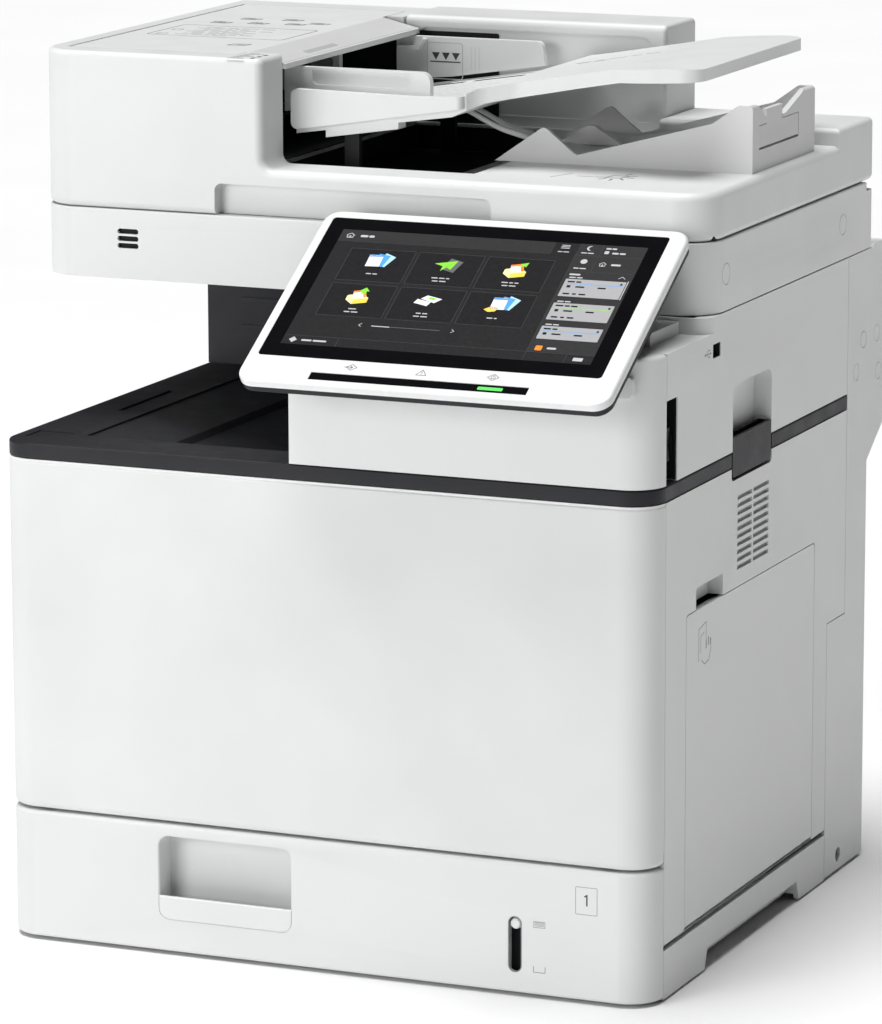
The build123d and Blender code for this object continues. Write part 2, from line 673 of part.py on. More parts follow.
def mp_tray():
    """Fold-down multi-purpose tray that closes flush with the right door."""
    plate = block(257, HALF, 69.4, 348, 43.5, 277)
    plate = soften(plate, Axis.X, 4, lambda p: p.Z > 270)
    plate = soften(plate, Axis.Y, 2.9, lambda p: p.Z < 44 and p.X > HALF - 1)
    for y in (69.4, 345.5):
        plate += block(248.5, 257, y, y + 2.5, 46.5, 270)
    plate += block(250.5, 257, 72, 162.5, 272, 274.5)
    for y in (160, 332.5):
        plate += block(250.5, 257, y, y + 2.5, 140, 272)
    for y in (90, 118, 146):
        plate += block(254, 257, y, y + 1.5, 60, 268)
    plate -= rod_y(2 + RUNNING, 69, 72, *MP_PIVOT)
    return plate - rod_y(2 + RUNNING, 345, 348.5, *MP_PIVOT)


def mp_extension():
    plate = block(251, 254, 163.2, 331.8, 150, 268)
    plate = soften(plate, Axis.X, 12, lambda p: p.Z > 267)
    plate += block(249.2, 251, 220, 275, 258, 264)
    for y in (190, 230, 270, 310):
        plate += block(254, 256.4, y - 1, y + 1, 156, 250)
    return plate


def transfer_roller():
    return rod_y(8, 52, 382, *TRANSFER_AXIS) + rod_y(3, 38.5, 395.5, *TRANSFER_AXIS)


# ---------------------------------------------------------------- document feeder

def feeder_body():
    """Slab and feed block as one moulding, its front edges rounded in one sweep."""
    body = block(SCAN_LEFT, HALF, SCAN_FRONT, SCAN_BACK, FEED_BOTTOM, SLAB_TOP)
    body += block(SCAN_LEFT, CHEEK_X, SCAN_FRONT, SCAN_BACK, SLAB_TOP, FEED_TOP)
    body = soften(body, Axis.Z, SCAN_CORNER, lambda p: p.Y < SCAN_FRONT + 1 and abs(p.X) > 200)
    body = soften(body, Axis.Z, 6, lambda p: p.Y > SCAN_BACK - 1 and abs(p.X) > 200)
    sweep = 8
    body = soften(body, Axis.Y, sweep, lambda p: abs(p.X - CHEEK_X) < 1 and abs(p.Z - SLAB_TOP) < 1)

    def shows(edge):
        p = edge.center()
        upright = abs(p.X - CHEEK_X) < 0.1 and p.Y < SCAN_FRONT + 0.1
        curve = 0 < p.X - CHEEK_X < sweep and abs(p.Y - SCAN_FRONT) < 0.01 and abs(p.Z - SLAB_TOP) < sweep
        lid = abs(p.Z - SLAB_TOP) < 0.01 and p.X > CHEEK_X + sweep and p.Y < SCAN_BACK - 1
        return upright or curve or (lid and edge.bounding_box().size.Z < 0.01)
    body = fillet([edge for edge in body.edges() if shows(edge)], 6)
    return rim(body, FEED_TOP, SCAN_BACK - 1, 4)


def adf_base():
    """Feeder body that covers the glass, with the grip, the feed space and the output well."""
    body = feeder_body()
    body = soften(body, Axis.X, 5, lambda p: p.Y > SCAN_BACK - 0.1 and p.Z < FEED_BOTTOM + 0.1)
    body -= block(CHEEK_X - 0.5, CHEEK_X + 9, 150, SCAN_BACK + 1, SLAB_TOP, SLAB_TOP + 9)
    body -= block(-108.5, CHEEK_X + 4, 404, SCAN_BACK + 1, SLAB_TOP, FEED_TOP + 1)
    step = block(113, HALF, 396, SCAN_BACK, SLAB_TOP - 8, 590)
    step = soften(step, Axis.Z, 6, lambda p: p.X > HALF - 1 and p.Y > SCAN_BACK - 1)
    step = soften(step, Axis.X, 4, lambda p: p.Z > 589)
    body += step
    body -= scanner_shape(SCAN_LEFT + 3, HALF - 3, SCAN_FRONT + 16, SCAN_BACK - 3, 548, SLAB_TOP - 3, 16)
    body -= block(SCAN_LEFT + 3, HALF - 3, SCAN_FRONT + 16, SCAN_BACK - 24, FEED_BOTTOM - 1, 545)
    body -= grip_recess()
    body += block(-97, 63, 149, 403, 553, SLAB_TOP - 1)
    body -= block(CHEEK_X, 60, 152, 400, 556, SLAB_TOP + 1)
    for x in (-200, 200):
        body += block(x - 22, x + 22, 456, SCAN_BACK - 3, 546, SLAB_TOP - 2)
        body -= block(x - 6, x + 6, 459, SCAN_BACK + 1, FEED_BOTTOM - 1, 566)
        body -= rod_x(3 + RUNNING, x - 15.5, x + 15.5, *FEED_PIVOT)
    body -= block(-266, CHEEK_X + 4, 150, 404, 580, 651)
    body -= block(-274, -265, 140, 440, 580, 640)
    body -= block(-265, -123, 134, 447, 650, FEED_TOP + 1)
    body -= block(-124, CHEEK_X + 4, 150, 410, 640, FEED_TOP + 1)
    for y in (134, 441):
        body += block(-265.2, -252, y, y + 6, 646, 650.1)
    return body


def supply_tray_masts():
    """Posts in the well that the supply tray turns on."""
    masts = []
    for y in (200, 384):
        mast = block(-66, -54, y, y + 6, 556, TRAY_PIVOT[1])
        mast += rod_y(6, y, y + 6, *TRAY_PIVOT)
        masts.append(mast + rod_y(2.5, y - 7, y + 13, *TRAY_PIVOT))
    return group(masts)


def grip_recess():
    cut = block(-133, 89.7, SCAN_FRONT - 1, SCAN_FRONT + 11, FEED_BOTTOM - 1, 565)
    return soften(cut, Axis.Y, 6, lambda p: p.Z > 564)


def platen_pad():
    return soften(block(-204, 169, 172, 408, FEED_BOTTOM - 0.1, 545), Axis.Z, 8, lambda p: True)


def feeder_cover():
    """Top cover of the feed block, with the sloping lip over the feed mouth."""
    plate = block(-264.2, -123.6, 134.6, 446.4, 653.2, FEED_TOP)
    plate = soften(plate, Axis.Y, 2.4, lambda p: p.X < -264 and p.Z > 658)
    lip = prism_y([(-123.6, 653.2), (-123.6, 659), (-92, 651.5), (-92, 647.5)], 150.8, 403.4)
    plate += lip
    for y in (225, 352):
        arm = block(-162, -138, y, y + 6, 622, 653.2)
        plate += arm - rod_y(3 + RUNNING, y - 1, y + 7, *FEED_AXIS)
    return plate


def adf_feed_roller():
    roller = rod_y(3, 225.5, 357.5, *FEED_AXIS)
    for y in (240, 300):
        roller += rod_y(12, y, y + 40, *FEED_AXIS)
    return roller


def adf_rear_housing():
    body = block(-108, 112, 412, SCAN_BACK, SLAB_TOP, REAR_HOUSING_TOP)
    body = soften(body, Axis.X, 5, lambda p: p.Z > 660)
    body = soften(body, Axis.Y, 3, lambda p: p.Z > 660)
    body -= block(-104, 108, 416, SCAN_BACK - 4, SLAB_TOP - 1, REAR_HOUSING_TOP - 5)
    panel = block(-96, 100, 410, 412.8, SLAB_TOP + 8, REAR_HOUSING_TOP - 9)
    return body - soften(panel, Axis.Y, 8, lambda p: p.Z > 640)


def output_wave(y0, y1):
    """Side wall of the output tray, with its rounded crest, valley and end."""
    outline = [(46, SLAB_TOP), (85.7, 604.5), (111.5, 584), (219.5, 613), (239, 627), (251, 627),
               (251, SLAB_TOP)]
    wall = prism_y(outline, y0, y1)
    wall = soften(wall, Axis.Y, 5, lambda p: 80 < p.X < 120)
    wall = soften(wall, Axis.Y, 16, lambda p: 215 < p.X < 225)
    return soften(wall, Axis.Y, 3, lambda p: p.X > 235 and p.Z > 620)


def adf_output_tray():
    """Stepped tray that catches the scanned documents."""
    tray = output_wave(225, 229) + output_wave(359, 363)
    floor = [(46, SLAB_TOP), (74, SLAB_TOP + 8), (106, SLAB_TOP + 5), (220, 601), (247, 606), (247, SLAB_TOP)]
    tray += prism_y(floor, 229, 359)
    tray -= prism_y([(52, SLAB_TOP - 1), (74, SLAB_TOP + 5), (106, SLAB_TOP + 2),
                     (220, 598), (244, 603), (244, SLAB_TOP - 1)], 232, 356)
    fin = [(70, SLAB_TOP + 6), (96, 598), (101, 598), (124, 584)]
    tray += prism_y(fin, 288, 294)
    end_wall = block(246.5, 251, 229, 359, SLAB_TOP, 627)
    dip = prism_x([(236, 628), (254, 616), (296, 614), (344, 628)], 245, 252)
    end_wall -= soften(dip, Axis.X, 12, lambda p: p.Z < 620)
    end_wall = soften(end_wall, Axis.Y, 3, lambda p: p.X > 250 and p.Z > 626)
    tray += end_wall
    tray -= stopper_outline(0.6, 246, 252)
    return tray - rod_y(1.2 + RUNNING, 236, 330, *STOPPER_PIVOT)


def stopper_outline(grow, x0, x1):
    """T-shaped outline of the stopper, a little larger for its window."""
    wide = block(x0, x1, 240 - grow, 326 + grow, 594.8 - 3 * grow, 611 + grow)
    return wide + block(x0, x1, 256 - grow, 290 + grow, 611, 622 + grow)


def output_stopper():
    flap = stopper_outline(0, 247.2, 250.8)
    return flap + rod_y(1.2, 236.5, 329.5, *STOPPER_PIVOT)


def document_tray():
    """Document supply tray: raised front edge, inclined plate, flared end."""
    top = [(-90, 607), (33, 626), (54, 637), (164, 656), (206, 658.6), (229, 658.6)]
    under = [(229, 649.5), (164, 646), (58, 626), (36, 616), (-90, 598)]
    plate = prism_y(top + under, 166, 408)
    front = [(30, 140), (54, 175), (80, 184), (130, 184), (190, 172), (240, 172), (240, 140)]
    back = [(30, 440), (54, 400), (80, 394), (130, 394), (190, 406), (240, 406), (240, 440)]
    for outline in (front, back):
        cutter = prism_z(outline, 590, 670)
        plate -= soften(cutter, Axis.Z, 24, lambda p: 50 < p.X < 200)
    plate = soften(plate, Axis.Z, 16, lambda p: p.X > 228)
    wall = prism_y([(-92, 601), (-92, 632), (8, 630.5), (46, 632), (46, 623)], 160, 166)
    wall = soften(wall, Axis.Y, 5, lambda p: p.X < -90)
    plate += soften(wall, Axis.Z, 4, lambda p: p.X > 45 and p.Y < 161)
    plate += prism_y([(-66, 596), (-66, 602), (-7, 612), (-7, 605)], 166, 180)
    plate -= block(-92, -42, 192, 398, 594, 601)
    for y in (200, 384):
        plate -= block(-76, -44, y - 1, y + 7, 590, 612)
        for y0 in (y - 6.5, y + 7.5):
            knuckle = block(-65, -55, y0, y0 + 5, 599, 609)
            plate += knuckle - rod_y(2.5 + RUNNING, y0 - 1, y0 + 6, *TRAY_PIVOT)
        plate -= rod_y(2.5 + RUNNING, y - 7.5, y + 13.5, *TRAY_PIVOT)
    return plate


def document_guide_front():
    profile = [(-107, 612), (-107, 646), (12, 646), (12, 627), (-60, 616)]
    guide = prism_y(profile, 182, 188)
    guide = soften(guide, Axis.Y, 8, lambda p: p.X > 11 and p.Z > 640)
    recess = prism_y([(-84, 633), (-84, 644), (-4.5, 644), (-4.5, 633)], 181, 184)
    return guide - soften(recess, Axis.Y, 4, lambda p: p.Z < 634)


def document_guide_rear():
    profile = [(-107, 612), (-107, 646.6), (16, 646.6), (19, 628), (-60, 616)]
    guide = prism_y(profile, 393, 399)
    guide = soften(guide, Axis.Y, 5, lambda p: p.X > 15 and p.Z > 640)
    hook = prism_y([(-103, 636.5), (-103, 639.5), (-90, 639.5), (-83, 646), (-80, 645), (-86, 636.5)], 386, 393)
    return guide + soften(hook, Axis.Y, 1, lambda p: p.Z > 644)


# ---------------------------------------------------------------- operation panel

def panel_place():
    return Location((0, PANEL_FOOT[0], PANEL_FOOT[1]), (PANEL_TILT, 0, 0))


def panel_pivot_local():
    """The pivot in the panel's own (up the slope, out of the face) directions."""
    tilt = math.radians(PANEL_TILT)
    dy = PANEL_PIVOT[0] - PANEL_FOOT[0]
    dz = PANEL_PIVOT[1] - PANEL_FOOT[1]
    return dy * math.cos(tilt) + dz * math.sin(tilt), dz * math.cos(tilt) - dy * math.sin(tilt)


def panel_bezel():
    x0, x1 = PANEL_X
    frame = soften(block(x0, x1, 0, PANEL_RISE, -6, 0), Axis.Z, 13, lambda p: True)
    top = [e for e in frame.edges() if abs(e.center().Z) < 0.01]
    frame = fillet(top, 2.6)
    frame -= soften(block(-27.2, 236.7, 28.3, 186, -2, 1), Axis.Z, 3, lambda p: True)
    frame -= block(x0 + 4, x1 - 4, 4, PANEL_RISE - 4, -7, -4.5)
    frame -= block(21, 188, 5.4, 13.6, -1.6, 1)
    return panel_place() * frame


def panel_screen():
    glass = soften(block(-27, 236.5, 28.5, 185.8, -2, -0.2), Axis.Z, 2.8, lambda p: True)
    return panel_place() * glass


def panel_back():
    x0, x1 = PANEL_X
    shell = soften(block(x0 + 1, x1 - 1, 1, PANEL_RISE - 1, -13, -6.05), Axis.Z, 12, lambda p: True)
    edges = [e for e in shell.edges() if abs(e.center().Z + 13) < 0.01]
    shell = chamfer(edges, 2)
    shell += block(x0 + 4.5, x1 - 4.5, 4.5, PANEL_RISE - 4.5, -6.1, -5)
    v, w = panel_pivot_local()
    for x in (75, 145):
        for x_lug in (x - 11, x + 4.5):
            lug = block(x_lug, x_lug + 6.5, v - 5, v + 5, w - 1, -12.9)
            lug += rod_x(5, x_lug, x_lug + 6.5, v, w)
            shell += lug - rod_x(2.5 + RUNNING, x_lug - 1, x_lug + 8, v, w)
    return panel_place() * shell


def panel_bracket():
    y, z = PANEL_PIVOT
    bracket = soften(block(20, 246, -6, 0, 448, 463), Axis.Y, 3, lambda p: p.X > 240)
    for x in (75, 145):
        bracket += block(x - 4, x + 4, y, -5, z - 4.5, z)
        bracket += rod_x(4.5, x - 4, x + 4, y, z)
        bracket += rod_x(2.5, x - 11.5, x + 11.5, y, z)
    return bracket


# ---------------------------------------------------------------- whole machine

def all_nodes():
    return {
        "base_frame": base_frame(),
        "rubber_feet": rubber_feet(),
        "chassis_frame": chassis_frame(),
        "front_plate": front_plate(),
        "rear_plate": rear_plate(),
        "hinge_pins": hinge_pins(),
        "toner_cartridge": toner_cartridge(),
        "drum_cartridge": drum_cartridge(),
        "photo_drum": photo_drum(),
        "laser_unit": laser_unit(),
        "fuser_housing": fuser_housing(),
        "fuser_roller": fuser_roller(),
        "main_motor": main_motor(),
        "main_board": main_board(),
        "power_supply": power_supply(),
        "fan_frame": fan_frame(),
        "fan_rotor": fan_rotor(),
        "left_cover": left_cover(),
        "rear_cover": rear_cover(),
        "power_inlet": power_inlet(),
        "output_tray": output_tray(),
        "cavity_back": cavity_back(),
        "upper_left_cover": upper_left_cover(),
        "column_cover": column_cover(),
        "exit_roller": exit_roller(),
        "upper_right_cover": upper_right_cover(),
        "power_switch": power_switch(),
        "scanner_housing": scanner_housing(),
        "platen_glass": platen_glass(),
        "scan_carriage": scan_carriage(),
        "front_door": front_door(),
        "front_door_liner": front_door_liner(),
        "drawer_front": drawer_front(),
        "drawer_tray": drawer_tray(),
        "lift_plate": lift_plate(),
        "drawer_guide_front": side_guide(103, -1),
        "drawer_guide_rear": side_guide(319, 1),
        "drawer_end_guide": drawer_end_guide(),
        "level_indicator": level_indicator(),
        "right_door_cover": right_door_cover(),
        "right_door_inner": right_door_inner(),
        "latch_handle": latch_handle(),
        "mp_tray": mp_tray(),
        "mp_extension": mp_extension(),
        "transfer_roller": transfer_roller(),
        "adf_base": adf_base(),
        "platen_pad": platen_pad(),
        "supply_tray_masts": supply_tray_masts(),
        "feeder_cover": feeder_cover(),
        "adf_feed_roller": adf_feed_roller(),
        "adf_rear_housing": adf_rear_housing(),
        "adf_output_tray": adf_output_tray(),
        "output_stopper": output_stopper(),
        "document_tray": document_tray(),
        "document_guide_front": document_guide_front(),
        "document_guide_rear": document_guide_rear(),
        "panel_bezel": panel_bezel(),
        "panel_screen": panel_screen(),
        "panel_back": panel_back(),
        "panel_bracket": panel_bracket(),
    }


def main():
    os.makedirs("parts", exist_ok=True)
    nodes = all_nodes()
    boxes = [shape.bounding_box() for shape in nodes.values()]
    middle_x = (min(b.min.X for b in boxes) + max(b.max.X for b in boxes)) / 2
    middle_y = (min(b.min.Y for b in boxes) + max(b.max.Y for b in boxes)) / 2
    print(f"middle {middle_x:.4f} {middle_y:.4f}")
    for name, shape in nodes.items():
        export_step(Pos(-middle_x, -middle_y, 0) * shape, f"parts/{name}.step")


main()
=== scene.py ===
import json
import math
import bpy
import bmesh
from mathutils import Euler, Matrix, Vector


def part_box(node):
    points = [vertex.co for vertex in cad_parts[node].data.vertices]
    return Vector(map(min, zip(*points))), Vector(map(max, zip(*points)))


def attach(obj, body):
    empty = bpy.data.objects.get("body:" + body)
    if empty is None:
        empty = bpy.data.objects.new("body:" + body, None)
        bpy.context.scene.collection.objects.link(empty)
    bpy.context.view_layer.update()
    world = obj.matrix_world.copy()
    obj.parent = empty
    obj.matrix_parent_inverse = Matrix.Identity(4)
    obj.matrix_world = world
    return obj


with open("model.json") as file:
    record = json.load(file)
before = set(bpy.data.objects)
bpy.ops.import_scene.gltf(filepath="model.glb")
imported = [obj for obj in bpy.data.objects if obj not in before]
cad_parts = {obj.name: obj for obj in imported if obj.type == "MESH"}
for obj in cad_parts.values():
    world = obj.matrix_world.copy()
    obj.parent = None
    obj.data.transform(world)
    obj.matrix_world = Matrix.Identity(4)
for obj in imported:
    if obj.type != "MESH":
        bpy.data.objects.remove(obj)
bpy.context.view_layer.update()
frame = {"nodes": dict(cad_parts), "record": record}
NODES = frame["nodes"]

# ---------------------------------------------------------------- the machine's own measure
# Pieces are laid out in millimetres: X from the middle of the body, Y back from the
# front face of the door, Z up from the floor. place() turns that into the frame.
MM = 0.001
DOOR_LOW, DOOR_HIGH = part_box("front_door")
MIDDLE_X = (DOOR_LOW.x + DOOR_HIGH.x) / 2
FRONT_Y = DOOR_LOW.y


def place(x, y, z):
    return Vector((MIDDLE_X + x * MM, FRONT_Y + y * MM, z * MM))


def lows(node):
    """Lowest corner of a CAD node in the machine's millimetres."""
    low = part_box(node)[0]
    return (low.x - MIDDLE_X) / MM, (low.y - FRONT_Y) / MM, low.z / MM


def highs(node):
    """Highest corner of a CAD node in the machine's millimetres."""
    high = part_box(node)[1]
    return (high.x - MIDDLE_X) / MM, (high.y - FRONT_Y) / MM, high.z / MM


HALF = highs("front_door")[0]
BAND_BOTTOM = lows("output_tray")[2]
DOOR_TOP = highs("front_door")[2]

# ---------------------------------------------------------------- materials
# Colour sockets of the Mix node when it blends RGBA
MIX_A, MIX_B, MIX_RESULT = 6, 7, 2


def node_material(name):
    mat = bpy.data.materials.new(name)
    mat.use_nodes = True
    tree = mat.node_tree
    return mat, tree.nodes, tree.links, tree.nodes["Principled BSDF"]


def noise(nodes, links, coords, scale, detail=3.0, roughness=0.55):
    tex = nodes.new("ShaderNodeTexNoise")
    tex.inputs["Scale"].default_value = scale
    tex.inputs["Detail"].default_value = detail
    tex.inputs["Roughness"].default_value = roughness
    links.new(coords.outputs["Object"], tex.inputs["Vector"])
    return tex


def remap(nodes, links, source, low, high, from_low=0.3, from_high=0.7):
    ramp = nodes.new("ShaderNodeMapRange")
    ramp.inputs["From Min"].default_value = from_low
    ramp.inputs["From Max"].default_value = from_high
    ramp.inputs["To Min"].default_value = low
    ramp.inputs["To Max"].default_value = high
    links.new(source, ramp.inputs["Value"])
    return ramp.outputs["Result"]


def blend_colours(nodes, links, factor, first, second):
    mix = nodes.new("ShaderNodeMix")
    mix.data_type = "RGBA"
    links.new(factor, mix.inputs["Factor"])
    mix.inputs[MIX_A].default_value = (*first, 1)
    mix.inputs[MIX_B].default_value = (*second, 1)
    return mix.outputs[MIX_RESULT]


def add_bump(nodes, links, shader, height, strength, distance):
    bump = nodes.new("ShaderNodeBump")
    bump.inputs["Strength"].default_value = strength
    bump.inputs["Distance"].default_value = distance
    links.new(height, bump.inputs["Height"])
    links.new(bump.outputs["Normal"], shader.inputs["Normal"])


def shade(colour, factor):
    return tuple(min(1.0, c * factor) for c in colour)


def moulded(name, colour, rough=0.45, grain=2600.0, depth=0.00003, edge_tone=1.05, spread=0.03, coat=0.0,
            shine=0.45):
    """Moulded plastic: fine spark-eroded grain, faint cloudiness, edges a little lighter."""
    mat, nodes, links, shader = node_material(name)
    coords = nodes.new("ShaderNodeTexCoord")
    cloud = noise(nodes, links, coords, 9.0, 2.0)
    base = blend_colours(nodes, links, remap(nodes, links, cloud.outputs["Fac"], 0, 1),
                         shade(colour, 1 - spread), shade(colour, 1 + spread))
    edge = nodes.new("ShaderNodeNewGeometry")
    # Convex edges are made lighter by the edge_tone factor.
    edge_mask = remap(nodes, links, edge.outputs["Pointiness"], 0, 1, 0.52, 0.60)
    mix = nodes.new("ShaderNodeMix")
    mix.data_type = "RGBA"
    links.new(edge_mask, mix.inputs["Factor"])
    links.new(base, mix.inputs[MIX_A])
    mix.inputs[MIX_B].default_value = (*shade(colour, edge_tone), 1)
    links.new(mix.outputs[MIX_RESULT], shader.inputs["Base Color"])
    smear = noise(nodes, links, coords, 34.0, 4.0, 0.6)
    links.new(remap(nodes, links, smear.outputs["Fac"], rough - 0.05, rough + 0.06),
              shader.inputs["Roughness"])
    grains = noise(nodes, links, coords, grain, 2.0)
    add_bump(nodes, links, shader, grains.outputs["Fac"], 0.35, depth)
    shader.inputs["Specular IOR Level"].default_value = shine
    if coat:
        shader.inputs["Coat Weight"].default_value = coat
        shader.inputs["Coat Roughness"].default_value = 0.12
    return mat


def sheet_metal(name, colour, rough=0.34, streak=(40.0, 40.0, 900.0)):
    """Rolled or turned metal with fine streaks along one direction."""
    mat, nodes, links, shader = node_material(name)
    coords = nodes.new("ShaderNodeTexCoord")
    stretch = nodes.new("ShaderNodeMapping")
    stretch.inputs["Scale"].default_value = streak
    links.new(coords.outputs["Object"], stretch.inputs["Vector"])
    lines = nodes.new("ShaderNodeTexNoise")
    lines.inputs["Scale"].default_value = 1.0
    lines.inputs["Detail"].default_value = 4.0
    links.new(stretch.outputs["Vector"], lines.inputs["Vector"])
    links.new(blend_colours(nodes, links, remap(nodes, links, lines.outputs["Fac"], 0, 1),
                            shade(colour, 0.88), shade(colour, 1.08)), shader.inputs["Base Color"])
    links.new(remap(nodes, links, lines.outputs["Fac"], rough - 0.08, rough + 0.10),
              shader.inputs["Roughness"])
    add_bump(nodes, links, shader, lines.outputs["Fac"], 0.25, 0.00004)
    shader.inputs["Metallic"].default_value = 1.0
    return mat


def glassy(name, colour, rough=0.06, transmission=0.0):
    """Glass panel with faint wiping marks in its polish."""
    mat, nodes, links, shader = node_material(name)
    coords = nodes.new("ShaderNodeTexCoord")
    wipe = noise(nodes, links, coords, 26.0, 5.0, 0.65)
    links.new(remap(nodes, links, wipe.outputs["Fac"], rough, rough + 0.07), shader.inputs["Roughness"])
    links.new(blend_colours(nodes, links, remap(nodes, links, wipe.outputs["Fac"], 0, 1),
                            shade(colour, 0.9), shade(colour, 1.1)), shader.inputs["Base Color"])
    shader.inputs["Transmission Weight"].default_value = transmission
    shader.inputs["IOR"].default_value = 1.5
    shader.inputs["Specular IOR Level"].default_value = 0.3
    return mat


def printed(name, colour, glow=0.0, rough=0.5, spread=0.05, shine=0.5):
    """Ink, painted shade or a lit screen tile, very slightly uneven in tone."""
    mat, nodes, links, shader = node_material(name)
    coords = nodes.new("ShaderNodeTexCoord")
    fleck = noise(nodes, links, coords, 420.0, 3.0)
    tone = blend_colours(nodes, links, remap(nodes, links, fleck.outputs["Fac"], 0, 1),
                         shade(colour, 1 - spread), shade(colour, 1 + spread))
    links.new(tone, shader.inputs["Base Color"])
    links.new(remap(nodes, links, fleck.outputs["Fac"], rough - 0.05, rough + 0.05),
              shader.inputs["Roughness"])
    shader.inputs["Specular IOR Level"].default_value = shine
    if glow:
        links.new(tone, shader.inputs["Emission Color"])
        shader.inputs["Emission Strength"].default_value = glow
    return mat


def lit(name, colour, glow=0.2):
    """A patch of the lit screen under its smooth cover; the toner cartridge's marks use it too, where its
    glow is painted light.
    """
    return printed(name, colour, glow, 0.16, 0.015, 0.25)


MATERIALS = {
    "white_shell": moulded("white_shell", (0.68, 0.69, 0.685), 0.46),
    "white_gloss": moulded("white_gloss", (0.70, 0.705, 0.705), 0.30, grain=900, depth=0.00001,
                           coat=0.15),
    "tray_grey": moulded("tray_grey", (0.58, 0.585, 0.58), 0.5),
    "inner_grey": moulded("inner_grey", (0.38, 0.39, 0.39), 0.5),
    "dark_trim": moulded("dark_trim", (0.016, 0.016, 0.019), 0.48, edge_tone=1.5, spread=0.12, shine=0.2),
    "black_plastic": moulded("black_plastic", (0.012, 0.012, 0.013), 0.45, edge_tone=1.6, spread=0.15,
                             shine=0.35),
    "screen_glass": glassy("screen_glass", (0.003, 0.003, 0.004), 0.04),
    "clear_glass": glassy("clear_glass", (0.86, 0.93, 0.91), 0.03, 0.8),
    "steel": sheet_metal("steel", (0.62, 0.63, 0.64), 0.38),
    "pin_steel": sheet_metal("pin_steel", (0.55, 0.56, 0.58), 0.26, (900.0, 60.0, 60.0)),
    "rubber": moulded("rubber", (0.035, 0.035, 0.037), 0.75, grain=1500, depth=0.0001, edge_tone=1.4,
                      spread=0.2),
    "drum_green": moulded("drum_green", (0.015, 0.20, 0.17), 0.12, grain=500, depth=0.000004, coat=0.6),
    "circuit_board": moulded("circuit_board", (0.012, 0.11, 0.05), 0.35, grain=700, depth=0.00006,
                             spread=0.25),
    "guide_blue": moulded("guide_blue", (0.05, 0.22, 0.52), 0.42),
}

# Extra finishes that only printed or added pieces use
INKS = {
    "ink_dark": printed("ink_dark", (0.035, 0.036, 0.040)),
    # The grey and pale finishes serve as print, and also as painted shade along the rear cover seam and
    # round the rear guide's insert.
    "grey_print_and_shade": printed("grey_print_and_shade", (0.24, 0.245, 0.25)),
    "pale_print_and_shade": printed("pale_print_and_shade", (0.45, 0.455, 0.46)),
    # Near-black finish for painted shade inside recesses, slots, seams and the feed chute.
    "shade_black": moulded("shade_black", (0.006, 0.006, 0.007), 0.6, edge_tone=2.0, spread=0.2,
                            shine=0.12),
    # Lighter copy of the white shell for the band lip: painted highlight on its thin edge.
    "lip_highlight_white": moulded("lip_highlight_white", (0.75, 0.755, 0.755), 0.4),
    "screen_back": lit("screen_back", (0.018, 0.018, 0.019)),
    "screen_bar": lit("screen_bar", (0.030, 0.030, 0.031)),
    "screen_tile": lit("screen_tile", (0.014, 0.014, 0.015)),
    "screen_line": lit("screen_line", (0.046, 0.046, 0.048)),
    "glow_white": lit("glow_white", (0.66, 0.67, 0.68), 0.3),
    "screen_text": lit("screen_text", (0.42, 0.42, 0.43), 0.3),
    "screen_card": lit("screen_card", (0.34, 0.34, 0.35)),
    "glow_grey": lit("glow_grey", (0.12, 0.12, 0.13)),
    "icon_blue": lit("icon_blue", (0.08, 0.30, 0.68), 0.3),
    "icon_sky": lit("icon_sky", (0.38, 0.60, 0.82), 0.3),
    "icon_green": lit("icon_green", (0.21, 0.58, 0.05), 0.3),
    "icon_yellow": lit("icon_yellow", (0.76, 0.53, 0.08), 0.3),
    "icon_sand": lit("icon_sand", (0.80, 0.68, 0.36), 0.3),
    "icon_orange": lit("icon_orange", (0.78, 0.22, 0.03), 0.3),
    "led_green": lit("led_green", (0.10, 0.52, 0.11), 0.55),
}

SLOT_OF = {part["node"]: part["material_slot"] for part in frame["record"]["subparts"]}
for node_name, node in NODES.items():
    for index in range(len(node.material_slots)):
        node.material_slots[index].material = MATERIALS[SLOT_OF[node_name]]

# ---------------------------------------------------------------- geometry helpers

def add_object(name, data):
    obj = bpy.data.objects.new(name, data)
    bpy.context.scene.collection.objects.link(obj)
    return obj


def finish_mesh(name, bm, material, body, smooth_angle=None):
    """Turn a bmesh into a visible piece that rides a body and fills a slot."""
    mesh = bpy.data.meshes.new(name)
    bmesh.ops.recalc_face_normals(bm, faces=bm.faces[:])
    bm.to_mesh(mesh)
    bm.free()
    obj = add_object(name, mesh)
    obj.data.materials.append(material)
    if smooth_angle is not None:
        for face in mesh.polygons:
            face.use_smooth = True
        mesh.set_sharp_from_angle(angle=math.radians(smooth_angle))
    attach(obj, body)
    return obj


def on_circle(radius, k, sides):
    """Point k of a circle with so many sides."""
    a = 2 * math.pi * k / sides
    return radius * math.cos(a), radius * math.sin(a)


def rect(u0, v0, u1, v1, r=0.0, steps=5):
    """Rectangle with rounded corners, anticlockwise from its lower right corner."""
    if r <= 0:
        return [(u1, v0), (u1, v1), (u0, v1), (u0, v0)]
    points = []
    corners = ((u1 - r, v0 + r, -90), (u1 - r, v1 - r, 0), (u0 + r, v1 - r, 90), (u0 + r, v0 + r, 180))
    for cu, cv, start in corners:
        for i in range(steps + 1):
            a = math.radians(start + 90 * i / steps)
            points.append((cu + r * math.cos(a), cv + r * math.sin(a)))
    return points


def disc(cu, cv, r, steps=28):
    return [(cu + x, cv + y) for x, y in (on_circle(r, i, steps) for i in range(steps))]


